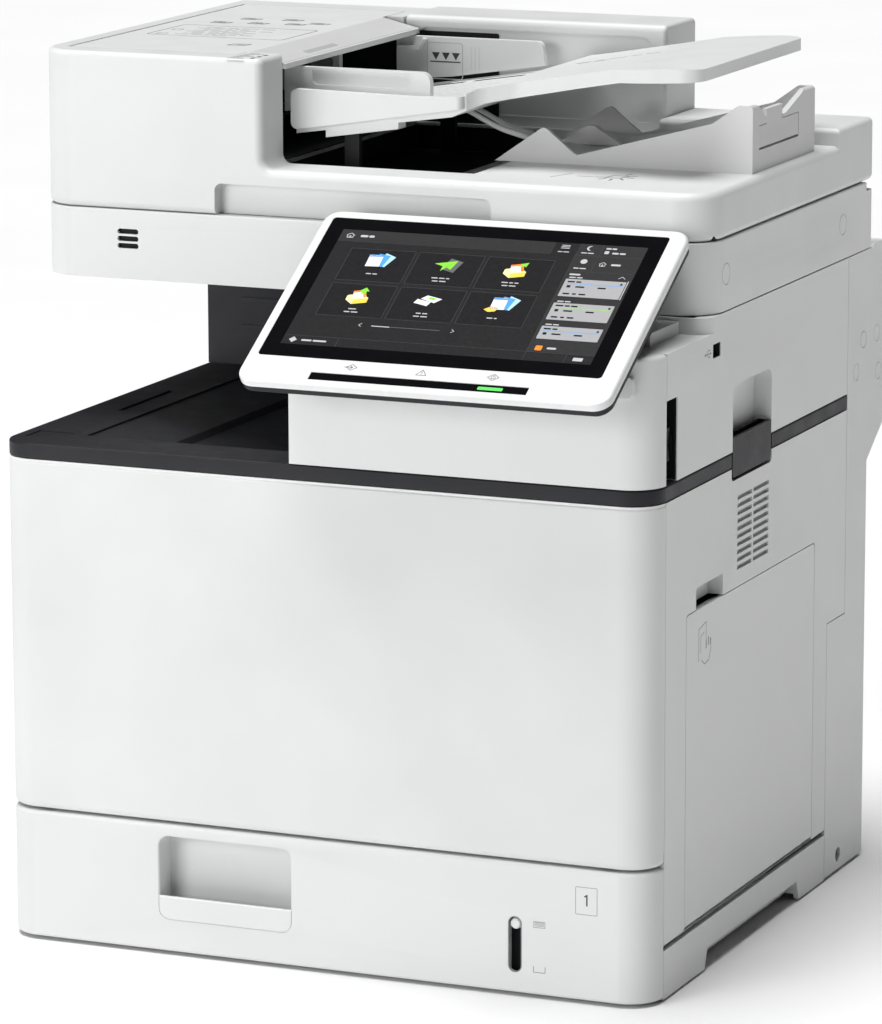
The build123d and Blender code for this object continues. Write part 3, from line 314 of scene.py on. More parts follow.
def arc(cu, cv, ru, rv, start, stop, step):
    """Points of an elliptic arc between two whole angles in degrees."""
    return [(cu + ru * math.cos(math.radians(a)), cv + rv * math.sin(math.radians(a)))
            for a in range(start, stop, step)]


def bar(u0, v0, u1, v1, width):
    """A straight stroke between two points."""
    length = math.hypot(u1 - u0, v1 - v0)
    nu, nv = (v0 - v1) / length * width / 2, (u1 - u0) / length * width / 2
    return [(u0 - nu, v0 - nv), (u1 - nu, v1 - nv), (u1 + nu, v1 + nv), (u0 + nu, v0 + nv)]


def strokes(points, width, closed=False):
    """Straight strokes joined into a line."""
    ends = points[1:] + points[:1] if closed else points[1:]
    return [bar(*a, *b, width) for a, b in zip(points, ends)]


def plate(bm, outline, surface, low, high):
    """Thin plate from an outline, between two heights over a surface."""
    bottom = [bm.verts.new(surface(u, v, low)) for u, v in outline]
    top = [bm.verts.new(surface(u, v, high)) for u, v in outline]
    bm.faces.new(top)
    bm.faces.new(bottom[::-1])
    count = len(outline)
    for i in range(count):
        j = (i + 1) % count
        bm.faces.new((bottom[i], bottom[j], top[j], top[i]))


def ring(bm, outer, inner, surface, low, high):
    """Thin frame between two outlines with the same number of points."""
    loops = [[bm.verts.new(surface(u, v, w)) for u, v in line]
             for line, w in ((outer, low), (outer, high), (inner, high), (inner, low))]
    count = len(outer)
    for k in range(4):
        a, b = loops[k], loops[(k + 1) % 4]
        for i in range(count):
            j = (i + 1) % count
            bm.faces.new((a[i], a[j], b[j], b[i]))


def flat_shapes(name, shapes, surface, material, body, slot, low=-0.05, high=0.06, frames=()):
    """Printed or inlaid shapes, or flat sheets of painted shade, on a surface, as one piece."""
    bm = bmesh.new()
    for shape in shapes:
        plate(bm, shape, surface, low, high)
    for outer, inner in frames:
        ring(bm, outer, inner, surface, low, high)
    return finish_mesh(name, bm, material, body)


def frame_of(u0, v0, u1, v1, width, r=0.0):
    """Outer and inner outline of a rectangular frame."""
    inner_r = max(r - width, 0.05) if r else 0.0
    return rect(u0, v0, u1, v1, r), rect(u0 + width, v0 + width, u1 - width, v1 - width, inner_r)


def front_face(u, v, w):
    return place(u, -w, v)


def right_face(u, v, w):
    return place(HALF + w, u, v)


def top_face(height):
    return lambda u, v, w: place(u, v, height + w)


def facing_front(y):
    return lambda u, v, w: place(u, y - w, v)


def facing_back(y):
    return lambda u, v, w: place(u, y + w, v)


def facing_right(x):
    return lambda u, v, w: place(x + w, u, v)


def shade_lining(name, shapes, surface, body="chassis", low=0.02, high=0.4):
    """Black skin over the inner faces of a recess: painted shade where the recess lies in shadow."""
    flat_shapes(name, shapes, surface, INKS["shade_black"], body, "black_plastic", low=low, high=high)


# Heights of a very thin print on a top face
FILM = {"low": -0.03, "high": 0.05}


# ---------------------------------------------------------------- stage, light, camera
# Metres, degrees and watts, in the frame's own axes
FLOOR_RADII = (1.5, 4.0, 12.0, 60.0)
WORLD_STRENGTH = 0.06
SUN_STRENGTH, SUN_ANGLE, SUN_FROM = 3.65, 38, (-0.1, -0.12, 0.985)
SOFTBOX_POWER, SOFTBOX_SIZE = 64, (1.8, 1.5)
SOFTBOX_AT, SOFTBOX_AXIS = (-1.5, -3.4, 1.1), (-1.5, -3.4, 0.75)
CAMERA_AT, CAMERA_TURN = (1.6131, -3.7556, 1.138), (78.46, 0.123, 23.063)
CAMERA_LENS = 192.08


def stage():
    """Pale round floor, finer near the machine."""
    bm = bmesh.new()
    ring_points = 96
    centre = bm.verts.new((0, 0, 0))
    previous = None
    for radius in FLOOR_RADII:
        loop = [bm.verts.new((*on_circle(radius, i, ring_points), 0)) for i in range(ring_points)]
        for i in range(ring_points):
            j = (i + 1) % ring_points
            if previous is None:
                bm.faces.new((centre, loop[i], loop[j]))
            else:
                bm.faces.new((previous[i], loop[i], loop[j], previous[j]))
        previous = loop
    mesh = bpy.data.meshes.new("floor")
    bm.to_mesh(mesh)
    bm.free()
    floor = add_object("floor", mesh)
    mat, nodes, links, shader = node_material("floor_paper")
    coords = nodes.new("ShaderNodeTexCoord")
    tone = noise(nodes, links, coords, 3.0, 3.0)
    links.new(blend_colours(nodes, links, remap(nodes, links, tone.outputs["Fac"], 0, 1),
                            (0.81, 0.81, 0.81), (0.83, 0.83, 0.83)), shader.inputs["Base Color"])
    shader.inputs["Roughness"].default_value = 0.9
    shader.inputs["Specular IOR Level"].default_value = 0.1
    mesh.materials.append(mat)


def lighting():
    """Broad soft light from above, a wide softbox at the front left, and a little fill all round."""
    world = bpy.data.worlds.new("studio")
    bpy.context.scene.world = world
    world.use_nodes = True
    background = world.node_tree.nodes["Background"]
    background.inputs["Color"].default_value = (1.0, 1.0, 1.0, 1)
    background.inputs["Strength"].default_value = WORLD_STRENGTH
    key = bpy.data.lights.new("key", "SUN")
    key.energy = SUN_STRENGTH
    key.angle = math.radians(SUN_ANGLE)
    lamp = add_object("key", key)
    lamp.rotation_euler = Vector(SUN_FROM).to_track_quat("Z", "Y").to_euler()
    softbox = bpy.data.lights.new("softbox", "AREA")
    softbox.shape = "RECTANGLE"
    softbox.size, softbox.size_y = SOFTBOX_SIZE
    softbox.energy = SOFTBOX_POWER
    panel = add_object("softbox", softbox)
    panel.location = SOFTBOX_AT
    panel.rotation_euler = Vector(SOFTBOX_AXIS).to_track_quat("Z", "Y").to_euler()
    settings = bpy.context.scene.view_settings
    settings.view_transform = "Standard"
    settings.look = "None"


def camera():
    """Slightly above the machine, to the right of its front."""
    data = bpy.data.cameras.new("camera")
    data.lens = CAMERA_LENS
    data.sensor_width = 36.0
    data.sensor_fit = "AUTO"
    data.clip_end = 200
    obj = add_object("camera", data)
    obj.location = CAMERA_AT
    obj.rotation_euler = Euler(tuple(math.radians(a) for a in CAMERA_TURN))
    bpy.context.scene.camera = obj


stage()
lighting()
camera()

# ---------------------------------------------------------------- body details

def band_lip():
    """White edge of the inner frame that shows as a thin line under the dark band; its white is lighter than
    the shell's, a painted highlight.
    """
    top, bottom = BAND_BOTTOM - 0.05, DOOR_TOP + 1.0
    side, front, depth, corner, steps = HALF - 0.5, 0.6, 26.0, 25.0, 12
    bm = bmesh.new()
    outline = [(side, depth)]
    for i in range(steps + 1):
        a = math.radians(-90 * i / steps)
        outline.append((side - corner + corner * math.cos(a), front + corner + corner * math.sin(a)))
    outline += [(-u, v) for u, v in reversed(outline)]
    inner = [(u * 0.975, max(v, front) + 5.0) for u, v in outline]
    loops = [[bm.verts.new(place(u, v, z)) for u, v in line]
             for line, z in ((outline, bottom), (outline, top), (inner, top), (inner, bottom))]
    for k in range(4):
        a, b = loops[k], loops[(k + 1) % 4]
        for i in range(len(outline) - 1):
            bm.faces.new((a[i], a[i + 1], b[i + 1], b[i]))
    for end in (0, -1):
        bm.faces.new([loop[end] for loop in loops])
    finish_mesh("band_lip", bm, INKS["lip_highlight_white"], "chassis", 40)


def drawer_marks():
    """Drawer number, paper level marks and the gauge's window."""
    numeral = [bar(210.9, 73.6, 210.9, 82.0, 1.1), bar(211.1, 81.9, 208.9, 80.3, 0.9)]
    flat_shapes("drawer_numeral", numeral, front_face, INKS["ink_dark"], "drawer", "white_shell")
    flat_shapes("drawer_plate", [], front_face, INKS["grey_print_and_shade"], "drawer", "white_shell",
           frames=[frame_of(202, 67, 219, 87.7, 0.4, 0.8)])
    sheets = [rect(170.4, z, 177.7, z + 0.35) for z in (54.6, 55.5, 56.4, 57.2)]
    tray_outline = strokes([(169.5, 24.6), (169.5, 19.9), (178.6, 19.9), (178.6, 24.6)], 0.5)
    flat_shapes("drawer_level_marks", sheets + tray_outline, front_face, INKS["grey_print_and_shade"], "drawer",
           "white_shell", frames=[frame_of(169.5, 53.4, 178.6, 58.2, 0.4)])
    # Painted shade: dark sheet at the back of the gauge window.
    shade_lining("gauge_back", [rect(148.6, 16.2, 161.4, 61.8, 1.0)], facing_front(10), "drawer", high=0.5)
    flat_shapes("gauge_rim", [], front_face, INKS["grey_print_and_shade"], "drawer", "inner_grey", low=-1.2, high=0.12,
           frames=[frame_of(149.5, 18.2, 160.4, 60.4, 0.75, 5.3)])


def vent_shade():
    """Dark sheet behind the scanner's front slots: painted shade inside them."""
    shade_lining("scanner_vent_shade", [rect(-216, 511, -194, 527, 1.0)], facing_front(115.2),
           low=-0.6, high=-0.05)


def switch_slot():
    """Dark sheets over the walls of the slot that the power switch stands in: painted shade inside it."""
    shade_lining("switch_slot_back", [rect(27.2, 381.4, 49.3, 444, 0.8)], facing_right(245), high=0.7)
    shade_lining("switch_slot_side", [rect(245.6, 381.4, 259.4, 444)], facing_front(49.5), high=0.3)
    shade_lining("switch_slot_edge", [rect(257.1, 381.4, 259.0, 441.5)], facing_front(48), high=0.3)
    shade_lining("switch_ear_front", [rect(245.6, 401.8, 256.3, 414.2)], facing_front(47.2))
    shade_lining("switch_ear_edge", [rect(46.9, 401.8, 49.2, 414.2)], facing_right(256), high=0.3)


def port_mouth():
    """Dark walls of the port beside its mark: painted shade inside the port."""
    shade_lining("port_back", [rect(120.2, 457.2, 135.8, 467.2)], facing_right(248))
    shade_lining("port_wall", [rect(248.2, 457.2, 259.3, 467.2)], facing_front(136))
    shade_lining("port_floor", [rect(248.2, 120.2, 259.3, 135.6)], top_face(457))


def seam_shadows():
    """Dark strips deep in the fixed seams of the right side covers: painted shadow in the gaps."""
    strips = [rect(140, 486.9, 421, 488.9), rect(420.5, 384, 422.3, 487), rect(25.4, 443, 27.3, 472)]
    shade_lining("side_seam_shadows", strips, right_face, low=-1.9, high=-1.1)


def louvre_shade_plate():
    """Grey plate close behind the right door's louvres: painted shade in the slits between them."""
    flat_shapes("louvre_shade_plate", [rect(173.5, 288.5, 244, 349.5, 1.0)], facing_right(257.1),
           MATERIALS["inner_grey"], "right_door", "inner_grey", low=0.0, high=0.5)


def side_marks():
    """Sheet mark on the fold-down tray and the port's mark."""
    sheet = strokes([(95, 238), (95, 262), (110, 265), (110, 246)], 0.7)
    sheet += strokes([(99, 244), (99, 256), (106, 258)], 0.6)
    palm = strokes([(101, 238), (107, 234), (116, 235.4), (120, 242), (120, 251)], 0.8)
    palm += [bar(110.4, 245, 110.4, 251.4, 1.6), bar(115, 246.4, 115, 253, 1.6),
             bar(119, 246.4, 119, 251.4, 1.4)]
    flat_shapes("side_tray_mark", sheet + palm, right_face, INKS["grey_print_and_shade"], "mp", "white_shell")
    trident = [bar(104, 462, 114.4, 462, 0.7), bar(107, 462, 109.4, 464.6, 0.6),
               bar(109.4, 464.6, 112.2, 464.6, 0.6), bar(108.4, 462, 110.4, 459.6, 0.6),
               bar(110.4, 459.6, 112, 459.6, 0.6), disc(104, 462, 1.1),
               [(114.2, 463.2), (114.2, 460.8), (116.4, 462)], rect(112, 464, 113.2, 465.2),
               disc(112.4, 459.6, 0.7)]
    flat_shapes("port_mark", trident, right_face, INKS["grey_print_and_shade"], "chassis", "white_shell")


# ---------------------------------------------------------------- operation panel
PANEL_SLOPE = math.radians(30.6)
PANEL_FOOT = (-66.0, 453.3)


def panel_face(u, v, w):
    """u along the panel, v up its slope, w out of its face."""
    y = PANEL_FOOT[0] + v * math.cos(PANEL_SLOPE) - w * math.sin(PANEL_SLOPE)
    z = PANEL_FOOT[1] + v * math.sin(PANEL_SLOPE) + w * math.cos(PANEL_SLOPE)
    return place(u, y, z)


# The lit picture on the glass: left, bottom, right and top of its area; the six tiles in two
# rows; the left edge of the column beside them; the thickness of one layer of shapes
ACTIVE = (-14.6, 42.3, 223.8, 173.0)
TILE_U, TILE_PITCH, TILE_WIDTH = -0.3, 54.2, 51.6
ROWS = ((116.0, 152.5), (76.0, 112.6))
COLUMN_U = 172.0
LAYER = 0.03


def screen(name, shapes, ink, layer, frames=()):
    """Lit shapes on the screen; a higher layer lies over a lower one."""
    base = -0.2 + layer * LAYER
    flat_shapes(name, shapes, panel_face, INKS[ink], "panel", "screen_glass", low=base - LAYER, high=base,
           frames=frames)


def words(u, v, lengths, height=1.1, gap=1.0):
    """Unreadable dashes that stand for a line of words."""
    shapes = []
    for length in lengths:
        shapes.append(rect(u, v, u + length, v + height, height * 0.35, 2))
        u += length + gap
    return shapes


def centred(u, v, lengths, height=1.1, gap=1.0):
    width = sum(lengths) + gap * (len(lengths) - 1)
    return words(u - width / 2, v, lengths, height, gap)


def house(u, v, size):
    """Home sign: roof, walls and door."""
    left, right, foot, width = u - size * 0.7, u + size * 0.7, v - size * 0.8, size * 0.2
    roof = strokes([(u - size, v), (u, v + size * 0.75), (u + size, v)], width)
    walls = strokes([(left, v), (left, foot), (right, foot), (right, v)], width)
    return roof + walls + [rect(u - size * 0.2, v - size * 0.75, u + size * 0.2, v - size * 0.1)]


def tilted(u, v, width, height, degrees):
    """A sheet's outline, turned about its middle."""
    c, s = math.cos(math.radians(degrees)), math.sin(math.radians(degrees))
    du, dv = width / 2, height / 2
    corners = [(du, -dv), (du, dv), (-du, dv), (-du, -dv)]
    return [(u + x * c - y * s, v + x * s + y * c) for x, y in corners]


def shifted(u, v, offsets):
    return [(u + du, v + dv) for du, dv in offsets]


def screen_icons():
    """Six plain pictures, one on each tile: sheets, a paper dart, boxes of sheets."""
    inks = ("icon_blue", "icon_sky", "glow_white", "icon_green", "icon_yellow", "icon_sand",
            "icon_orange", "glow_grey")
    low, mid, top = ({ink: [] for ink in inks} for _ in range(3))
    centres = [(TILE_U + TILE_WIDTH / 2 + TILE_PITCH * k, row[0] + 23.5) for row in ROWS for k in range(3)]

    def sheets(u, v):
        low["icon_sky"].append(tilted(u + 5.2, v + 1.2, 9.5, 13, -24))
        mid["icon_blue"].append(tilted(u + 1.8, v + 0.8, 9.5, 13, -12))
        top["glow_white"].append(tilted(u - 3.0, v, 11, 13, 2))
        top["icon_blue"].append(tilted(u - 3.2, v + 5.6, 11, 2.4, 2))

    def crate(u, v):
        low["icon_sand"].append(shifted(u, v, [(8, -2), (2, 3), (-9, 0), (-3, -6)]))
        low["icon_orange"].append(shifted(u, v, [(6, -1), (3, 7), (-6, 5), (-4, -3)]))
        mid["glow_white"].append(shifted(u, v, [(4, -2), (1.4, 4.6), (-5.5, 3.0), (-4, -3)]))
        mid["icon_yellow"].append(shifted(u, v, [(8, -7), (8, -2), (-3, -4.6), (-3, -9.6)]))
        mid["icon_sand"].append(shifted(u, v, [(-3, -9.6), (-3, -4.6), (-9, -0.4), (-9, -5)]))

    sheets(*centres[0])
    u, v = centres[1]
    low["glow_grey"].append(tilted(u + 4, v, 11, 13, -18))
    mid["icon_green"] += [shifted(u, v, [(7, 5.5), (-10, 1.2), (-3, -1.2)]),
                          shifted(u, v, [(7, 5.5), (-3, -1.2), (-3.2, -6.6)]),
                          shifted(u, v, [(7, 5.5), (-0.6, -2.0), (4.2, -4.6)])]
    crate(*centres[2])
    top["icon_green"].append(shifted(*centres[2], [(7, 8.5), (1, 6.5), (2.6, 5.4), (-1, 3.6), (4.6, 4.2),
                                                   (6, 3.4)]))
    crate(*centres[3])
    top["icon_green"].append(shifted(*centres[3], [(2.6, 9.6), (-1.6, 5.4), (0.6, 5.4), (0.2, 2.6),
                                                   (4.4, 2.6), (4, 5.4), (6.2, 5.4)]))
    u, v = centres[4]
    low["glow_white"].append(shifted(u, v, [(10, 2.2), (-2.4, 5.4), (-6.4, 1.4), (5.2, -2.6)]))
    mid["icon_green"].append(shifted(u, v, [(5.6, 2.4), (0.6, 3.8), (-1.0, 1.6), (3.8, 0.4)]))
    mid["glow_white"].append(shifted(u, v, [(2.6, -1.8), (-8.6, 0.8), (-10.4, -3.6), (0.8, -6.4)]))
    u, v = centres[5]
    sheets(u + 3, v + 1.4)
    top["icon_yellow"].append(shifted(u, v, [(1.5, -3), (-4, -1.6), (-9.5, -5.6), (-5.4, -8.2),
                                             (-0.4, -7.2)]))
    for layer, stack in ((4, low), (5, mid), (6, top)):
        for ink, shapes in stack.items():
            if shapes:
                screen(f"screen_icon_{ink}_{layer}", shapes, ink, layer)


def screen_tiles():
    """Ground of the picture, its header bars, tiles and dividing lines."""
    u0, v0, u1, v1 = ACTIVE
    screen("screen_ground", [rect(u0, v0, u1, v1)], "screen_back", 1)
    screen("screen_header", [rect(u0, 159.5, 152.4, v1), rect(COLUMN_U, v0 + 9.4, u1, v1)], "screen_bar", 2)
    tiles, edges = [], []
    for low, high in ROWS:
        for k in range(3):
            left = TILE_U + TILE_PITCH * k
            tiles.append(rect(left + 0.5, low + 0.5, left + TILE_WIDTH - 0.5, high - 0.5, 0.8, 2))
            edges.append(frame_of(left, low, left + TILE_WIDTH, high, 0.45, 0.9))
    screen("screen_tile_faces", tiles, "screen_tile", 3)
    ends = ((u0, 52.0, COLUMN_U - 0.5, 52.0), (28, v0, 28, 51.8), (COLUMN_U, v0, COLUMN_U, 163),
            (152.6, 159.5, 152.6, v1), (COLUMN_U, 160.2, u1, 160.2), (190, 142, 190, v1),
            (COLUMN_U, 142.2, u1, 142.2), (COLUMN_U, 51.8, u1, 51.8), (203, v0, 203, 51.6))
    lines = [bar(*line, 0.4) for line in ends]
    screen("screen_lines", lines, "screen_line", 3, frames=edges)


def screen_words():
    """Dashes for the words of the picture, and its small signs."""
    shapes = house(-6.5, 166.6, 3.2) + words(1.5, 165.2, (6.0, 4.2), 2.4, 0.8)
    labels = [(4.2, 3.6), (5.0, 4.4, 2.6), (5.0, 3.0, 3.2), (6.2,), (4.0, 4.0), (4.6, 2.2)]
    for index, lengths in enumerate(labels):
        row = ROWS[index // 3]
        middle = TILE_U + TILE_WIDTH / 2 + TILE_PITCH * (index % 3)
        shapes += centred(middle, row[0] + 8.2, lengths)
        if index in (1, 2, 3, 4):
            shapes += centred(middle, row[0] + 4.8, (4.6, 5.2))
    shapes += strokes([(39.2, 69.6), (37.0, 67.8), (39.2, 66.0)], 0.5)
    shapes += strokes([(108.8, 69.6), (111.0, 67.8), (108.8, 66.0)], 0.5)
    shapes += [rect(47, 67.0, 61, 67.9)]
    shapes += [rect(158.6, v, 165.2, v + 0.7) for v in (166.6, 168.2, 169.8)]
    shapes += words(157.6, 162.4, (3.6, 4.4), 0.9, 0.6)
    moon = arc(181, 168.4, 2.6, 2.6, 70, 291, 20) + arc(181.8, 168.4, 1.9, 2.1, 270, 89, -20)
    shapes += [moon] + words(175.5, 162.4, (4.6, 4.6), 1.1, 0.6)
    shapes += words(193, 168.4, (4.0, 3.6), 1.6, 0.6) + words(199, 163.4, (5.0, 4.6), 1.8, 0.8)
    shapes += [rect(193, 163.2, 196.4, 166.4, 0.5, 2)]
    shapes += house(196, 151.6, 2.8) + words(202.5, 150.4, (7.4,), 2.0)
    shapes += [disc(181, 153.4, 2.6, 20)] + words(175.5, 145.0, (4.0, 5.0), 1.2, 0.6)
    shapes += words(175, 137.6, (8.4,), 1.8) + strokes([(213, 136.6), (215.6, 139.0), (218.2, 136.6)], 0.5)
    shapes += [bar(221.6, 113.6, 221.6, 134.4, 0.7)]
    for v in (134.6, 107.6, 81.8):
        shapes += words(176, v, (5.0, 4.4), 1.2, 0.8)
    shapes += words(186, 55.6, (7.0,), 2.0) + words(0, 46.2, (8.0, 10.5), 1.8, 1.0)
    shapes += [tilted(-6.6, 47.2, 4.4, 4.4, 45)]
    shapes += [rect(209, 45.0, 216.4, 48.6, 0.4, 2)]
    screen("screen_words", shapes, "screen_text", 4)
    screen("screen_track", [rect(61.2, 67.2, 100, 67.7)], "glow_grey", 4)


def screen_cards():
    """Three cards in the column at the right of the picture."""
    cards, ink, lines = [], [], {"icon_blue": [], "icon_green": []}
    for index, (low, high) in enumerate(((114.0, 133.4), (87.8, 106.5), (66.5, 80.6))):
        cards.append(rect(174.2, low, 220.6, high, 0.6, 2))
        colour = "icon_green" if index == 1 else "icon_blue"
        lines[colour].append(rect(175.6, high - 5.4, 219.4, high - 4.9))
        ink += words(176.4, high - 3.8, (5.6, 4.0) if index != 1 else (6.0, 4.0, 5.0), 1.6, 0.9)
        ink += [rect(216.6, high - 4.0, 218.2, high - 2.0)]
        ink += [rect(177.4, high - 9.6, 180.2, high - 7.0)]
        ink += words(184, high - 9.2, (7.0,), 1.6) + words(201, high - 9.2, (6.4,), 1.6)
        if index < 2:
            ink += words(177, low + 2.2, (5.2, 3.0, 5.2), 1.6, 2.0)
    screen("screen_cards", cards, "screen_card", 3)
    screen("screen_card_words", ink, "screen_tile", 4)
    for colour, shapes in lines.items():
        screen(f"screen_card_{colour}", shapes, colour, 4)
    screen("screen_stop", [rect(177.2, 53.8, 182.4, 59.0, 0.8, 2)], "icon_orange", 4)


def panel_lamps():
    """Dark lamp strip in the panel's chin, its lit lamp and the three marks above it."""
    flat_shapes("lamp_strip", [rect(21.2, 5.6, 187.8, 13.4, 0.6, 3)], panel_face, MATERIALS["screen_glass"],
           "panel", "screen_glass", low=-1.58, high=-0.35)
    flat_shapes("lamp_lit", [rect(150, 7.9, 169, 11.2, 0.7, 3)], panel_face, INKS["led_green"], "panel",
           "screen_glass", low=-0.4, high=-0.3)
    rhombus = [(49.2 + 4.2, 21.3), (49.2, 21.3 + 3.2), (49.2 - 4.2, 21.3), (49.2, 21.3 - 3.2)]
    marks = strokes(rhombus, 0.45, closed=True)
    marks += [bar(43.6, 21.3, 50.0, 21.3, 0.5)] + strokes([(48.2, 22.9), (50.2, 21.3), (48.2, 19.7)], 0.5)
    marks += strokes([(99.6, 18.2), (107.6, 18.2), (103.6, 24.0)], 0.45, closed=True)
    marks += [bar(103.6, 20.2, 103.6, 22.2, 0.5), disc(103.6, 19.3, 0.35, 10)]
    marks += strokes([(157.8 + 4.4, 21.5), (157.8, 24.9), (157.8 - 4.4, 21.5), (157.8, 18.1)], 0.45,
                     closed=True)
    marks += [bar(157.8, 21.6, 157.8, 24.0, 0.5)]
    marks += strokes([(156.7, 22.6), (156.1, 21.2), (157.0, 20.0), (158.6, 20.0), (159.5, 21.2),
                      (158.9, 22.6)], 0.45)
    flat_shapes("panel_marks", marks, panel_face, INKS["ink_dark"], "panel", "white_gloss")


# ---------------------------------------------------------------- document feeder
# Inner faces of the well under the supply tray and of the feed block behind the cover
SLAB_TOP = 577.0
WELL_FLOOR, WELL_LEFT, WELL_FRONT, WELL_REAR = 556, -94, 152, 400
FEED_FLOOR, FEED_FRONT, FEED_REAR, FEED_WALL = 580, 150, 404, 412
FEED_TOP = highs("feeder_cover")[2]
REAR_GUIDE_FACE = 393


def feeder_shade_faces():
    """Black inner faces of the feed block and of the well under the supply tray: painted shade inside them.
    """
    faces = (
        ("well_floor_shade", rect(-93.8, 152.2, -8, 399.8, 1.0), top_face(WELL_FLOOR), 0.8),
        ("well_left_shade", rect(152.2, 557, 399.8, 575.8), facing_right(WELL_LEFT), 0.6),
        ("well_front_shade", rect(-93, 557, 20, 575.8), facing_back(WELL_FRONT), 0.6),
        ("well_rear_shade", rect(-93, 557, 20, 575.8), facing_front(WELL_REAR), 0.6),
        ("feed_floor_shade", rect(-265.8, 150.4, -90.4, 403.6, 1.0), top_face(FEED_FLOOR), 0.8),
        ("feed_front_shade", rect(-265, 581.2, -123.8, 650.6), facing_back(FEED_FRONT), 0.6),
        ("feed_rear_shade", rect(-265, 581.2, -109, 650.6), facing_front(FEED_REAR), 0.6),
    )
    for name, outline, surface, high in faces:
        shade_lining(name, [outline], surface, "feeder", low=0.03, high=high)
    shade_lining("feed_back_wall", [rect(-108.6, 577.4, -28, 649.0, 1.5)], facing_front(FEED_WALL), "feeder",
           low=-0.4, high=0.7)
    ribs = [rect(u, 581, u + 2.4, 606, 0.6, 2) for u in (-252, -232, -212, -192, -172)]
    shade_lining("feed_front_ribs", ribs, facing_back(FEED_FRONT), "feeder", low=0.5, high=5.0)


def feed_guides():
    """Inner paper chute: nine lanes, each with a raised rib."""
    bm = bmesh.new()
    path = [(-262, 598), (-236, 590), (-200, 588), (-160, 596), (-128, 605.4), (-118, 606.8)]
    thickness = 1.8
    for lane in range(9):
        y = 170 + lane * 27
        for a, b in zip(path, path[1:]):
            for y0, y1, rise in ((y, y + 24.6, 0.0), (y + 11.4, y + 13.2, 1.6)):
                quad = [(a[0], y0, a[1] + rise), (b[0], y0, b[1] + rise),
                        (b[0], y1, b[1] + rise), (a[0], y1, a[1] + rise)]
                top = [bm.verts.new(place(*p)) for p in quad]
                low = [bm.verts.new(place(p[0], p[1], p[2] - thickness - rise)) for p in quad]
                bm.faces.new(top)
                bm.faces.new(low[::-1])
                for i in range(4):
                    bm.faces.new((top[i], low[i], low[(i + 1) % 4], top[(i + 1) % 4]))
    # The chute takes the near-black finish of painted shade, for the shade inside the feed block.
    finish_mesh("feed_chute", bm, INKS["shade_black"], "feeder")


def feeder_label():
    """Plain outline drawings on the feeder's cover where its instructions go."""
    top = top_face(FEED_TOP)
    rows = []
    for k, v in enumerate((238, 245, 252, 259, 266, 273, 280, 287)):
        rows += words(-226 + (k % 3) * 4, v, (16, 9, 14, 11) if k % 2 else (11, 15, 12), 1.6, 3.0)
    frames = [frame_of(-246, 229, -131, 299, 0.8, 4.0), frame_of(-240, 234, -232, 242, 0.5, 1.2),
              frame_of(-240, 262, -232, 270, 0.5, 1.2)]
    flat_shapes("feeder_label_words", rows, top, INKS["grey_print_and_shade"], "feeder_lid", "white_shell", **FILM)
    pictures = []
    for u, v in ((-226, 322), (-196, 326), (-166, 330), (-214, 352), (-180, 356), (-150, 340)):
        pictures += strokes([(u - 7, v - 4), (u + 7, v - 4), (u + 9, v + 3), (u - 5, v + 3)], 1.2,
                            closed=True)
        pictures += [bar(u - 4, v - 1.6, u + 5, v - 1.6, 1.0), bar(u - 2, v + 0.8, u + 5, v + 0.8, 0.8),
                     bar(u - 9, v + 5.5, u + 2, v + 5.5, 0.8)]
    flat_shapes("feeder_label_pictures", pictures, top, INKS["ink_dark"], "feeder_lid", "white_shell",
           frames=frames, **FILM)
    sheet = strokes([(-156, 186), (-143, 186), (-141, 196), (-154, 196)], 1.2, closed=True)
    sheet += [bar(-152, 190, -145, 190, 0.9), bar(-151, 192.6, -144, 192.6, 0.9)]
    flat_shapes("feeder_cover_mark", sheet, top, INKS["ink_dark"], "feeder_lid", "white_shell", **FILM)


def cheek_marks():
    """Size scale beside the document guides."""
    ticks = []
    for k in range(8):
        shift, v, end = k * 0.6, 112 + k * 4.6, -114 if k % 3 else -108
        ticks.append(bar(-122 + shift, v, end + shift, v, 1.1))
    ticks += [rect(-104.5 + k, 115 + k * 9.2, -101.6 + k, 120.4 + k * 9.2) for k in range(3)]
    flat_shapes("size_scale", ticks, top_face(FEED_TOP), INKS["ink_dark"], "feeder", "white_shell", **FILM)


LIP_SLOPE = math.atan2(7.5, 31.6)


def feeder_lip():
    """Pale grey strip and sunk window on the sloping lip over the feed mouth; the strip's grey is painted
    shade on the slope.
    """
    def lip(u, v, w):
        return place(-123.6 + v * math.cos(LIP_SLOPE) + w * math.sin(LIP_SLOPE), u,
                     659.0 - v * math.sin(LIP_SLOPE) + w * math.cos(LIP_SLOPE))
    # The strip's grey stands for the shade on the slope: painted shade.
    flat_shapes("lip_strip", [rect(151.6, 1.6, 402.4, 30.6, 1.0)], lip, MATERIALS["tray_grey"], "feeder_lid",
           "tray_grey", low=-0.1, high=0.25)
    flat_shapes("lip_window", [rect(206, 21, 262, 26, 1.0)], lip, INKS["pale_print_and_shade"], "feeder_lid", "inner_grey",
           low=0.1, high=0.4)


TRAY_SLOPE = math.atan2(19.0, 123.0)


def supply_surface(u, v, w):
    """On the supply tray's inclined floor: u along the feed, v back."""
    z = 607.0 + (u + 90.0) * math.tan(TRAY_SLOPE) + w * math.cos(TRAY_SLOPE)
    return place(u - w * math.sin(TRAY_SLOPE), v, z)


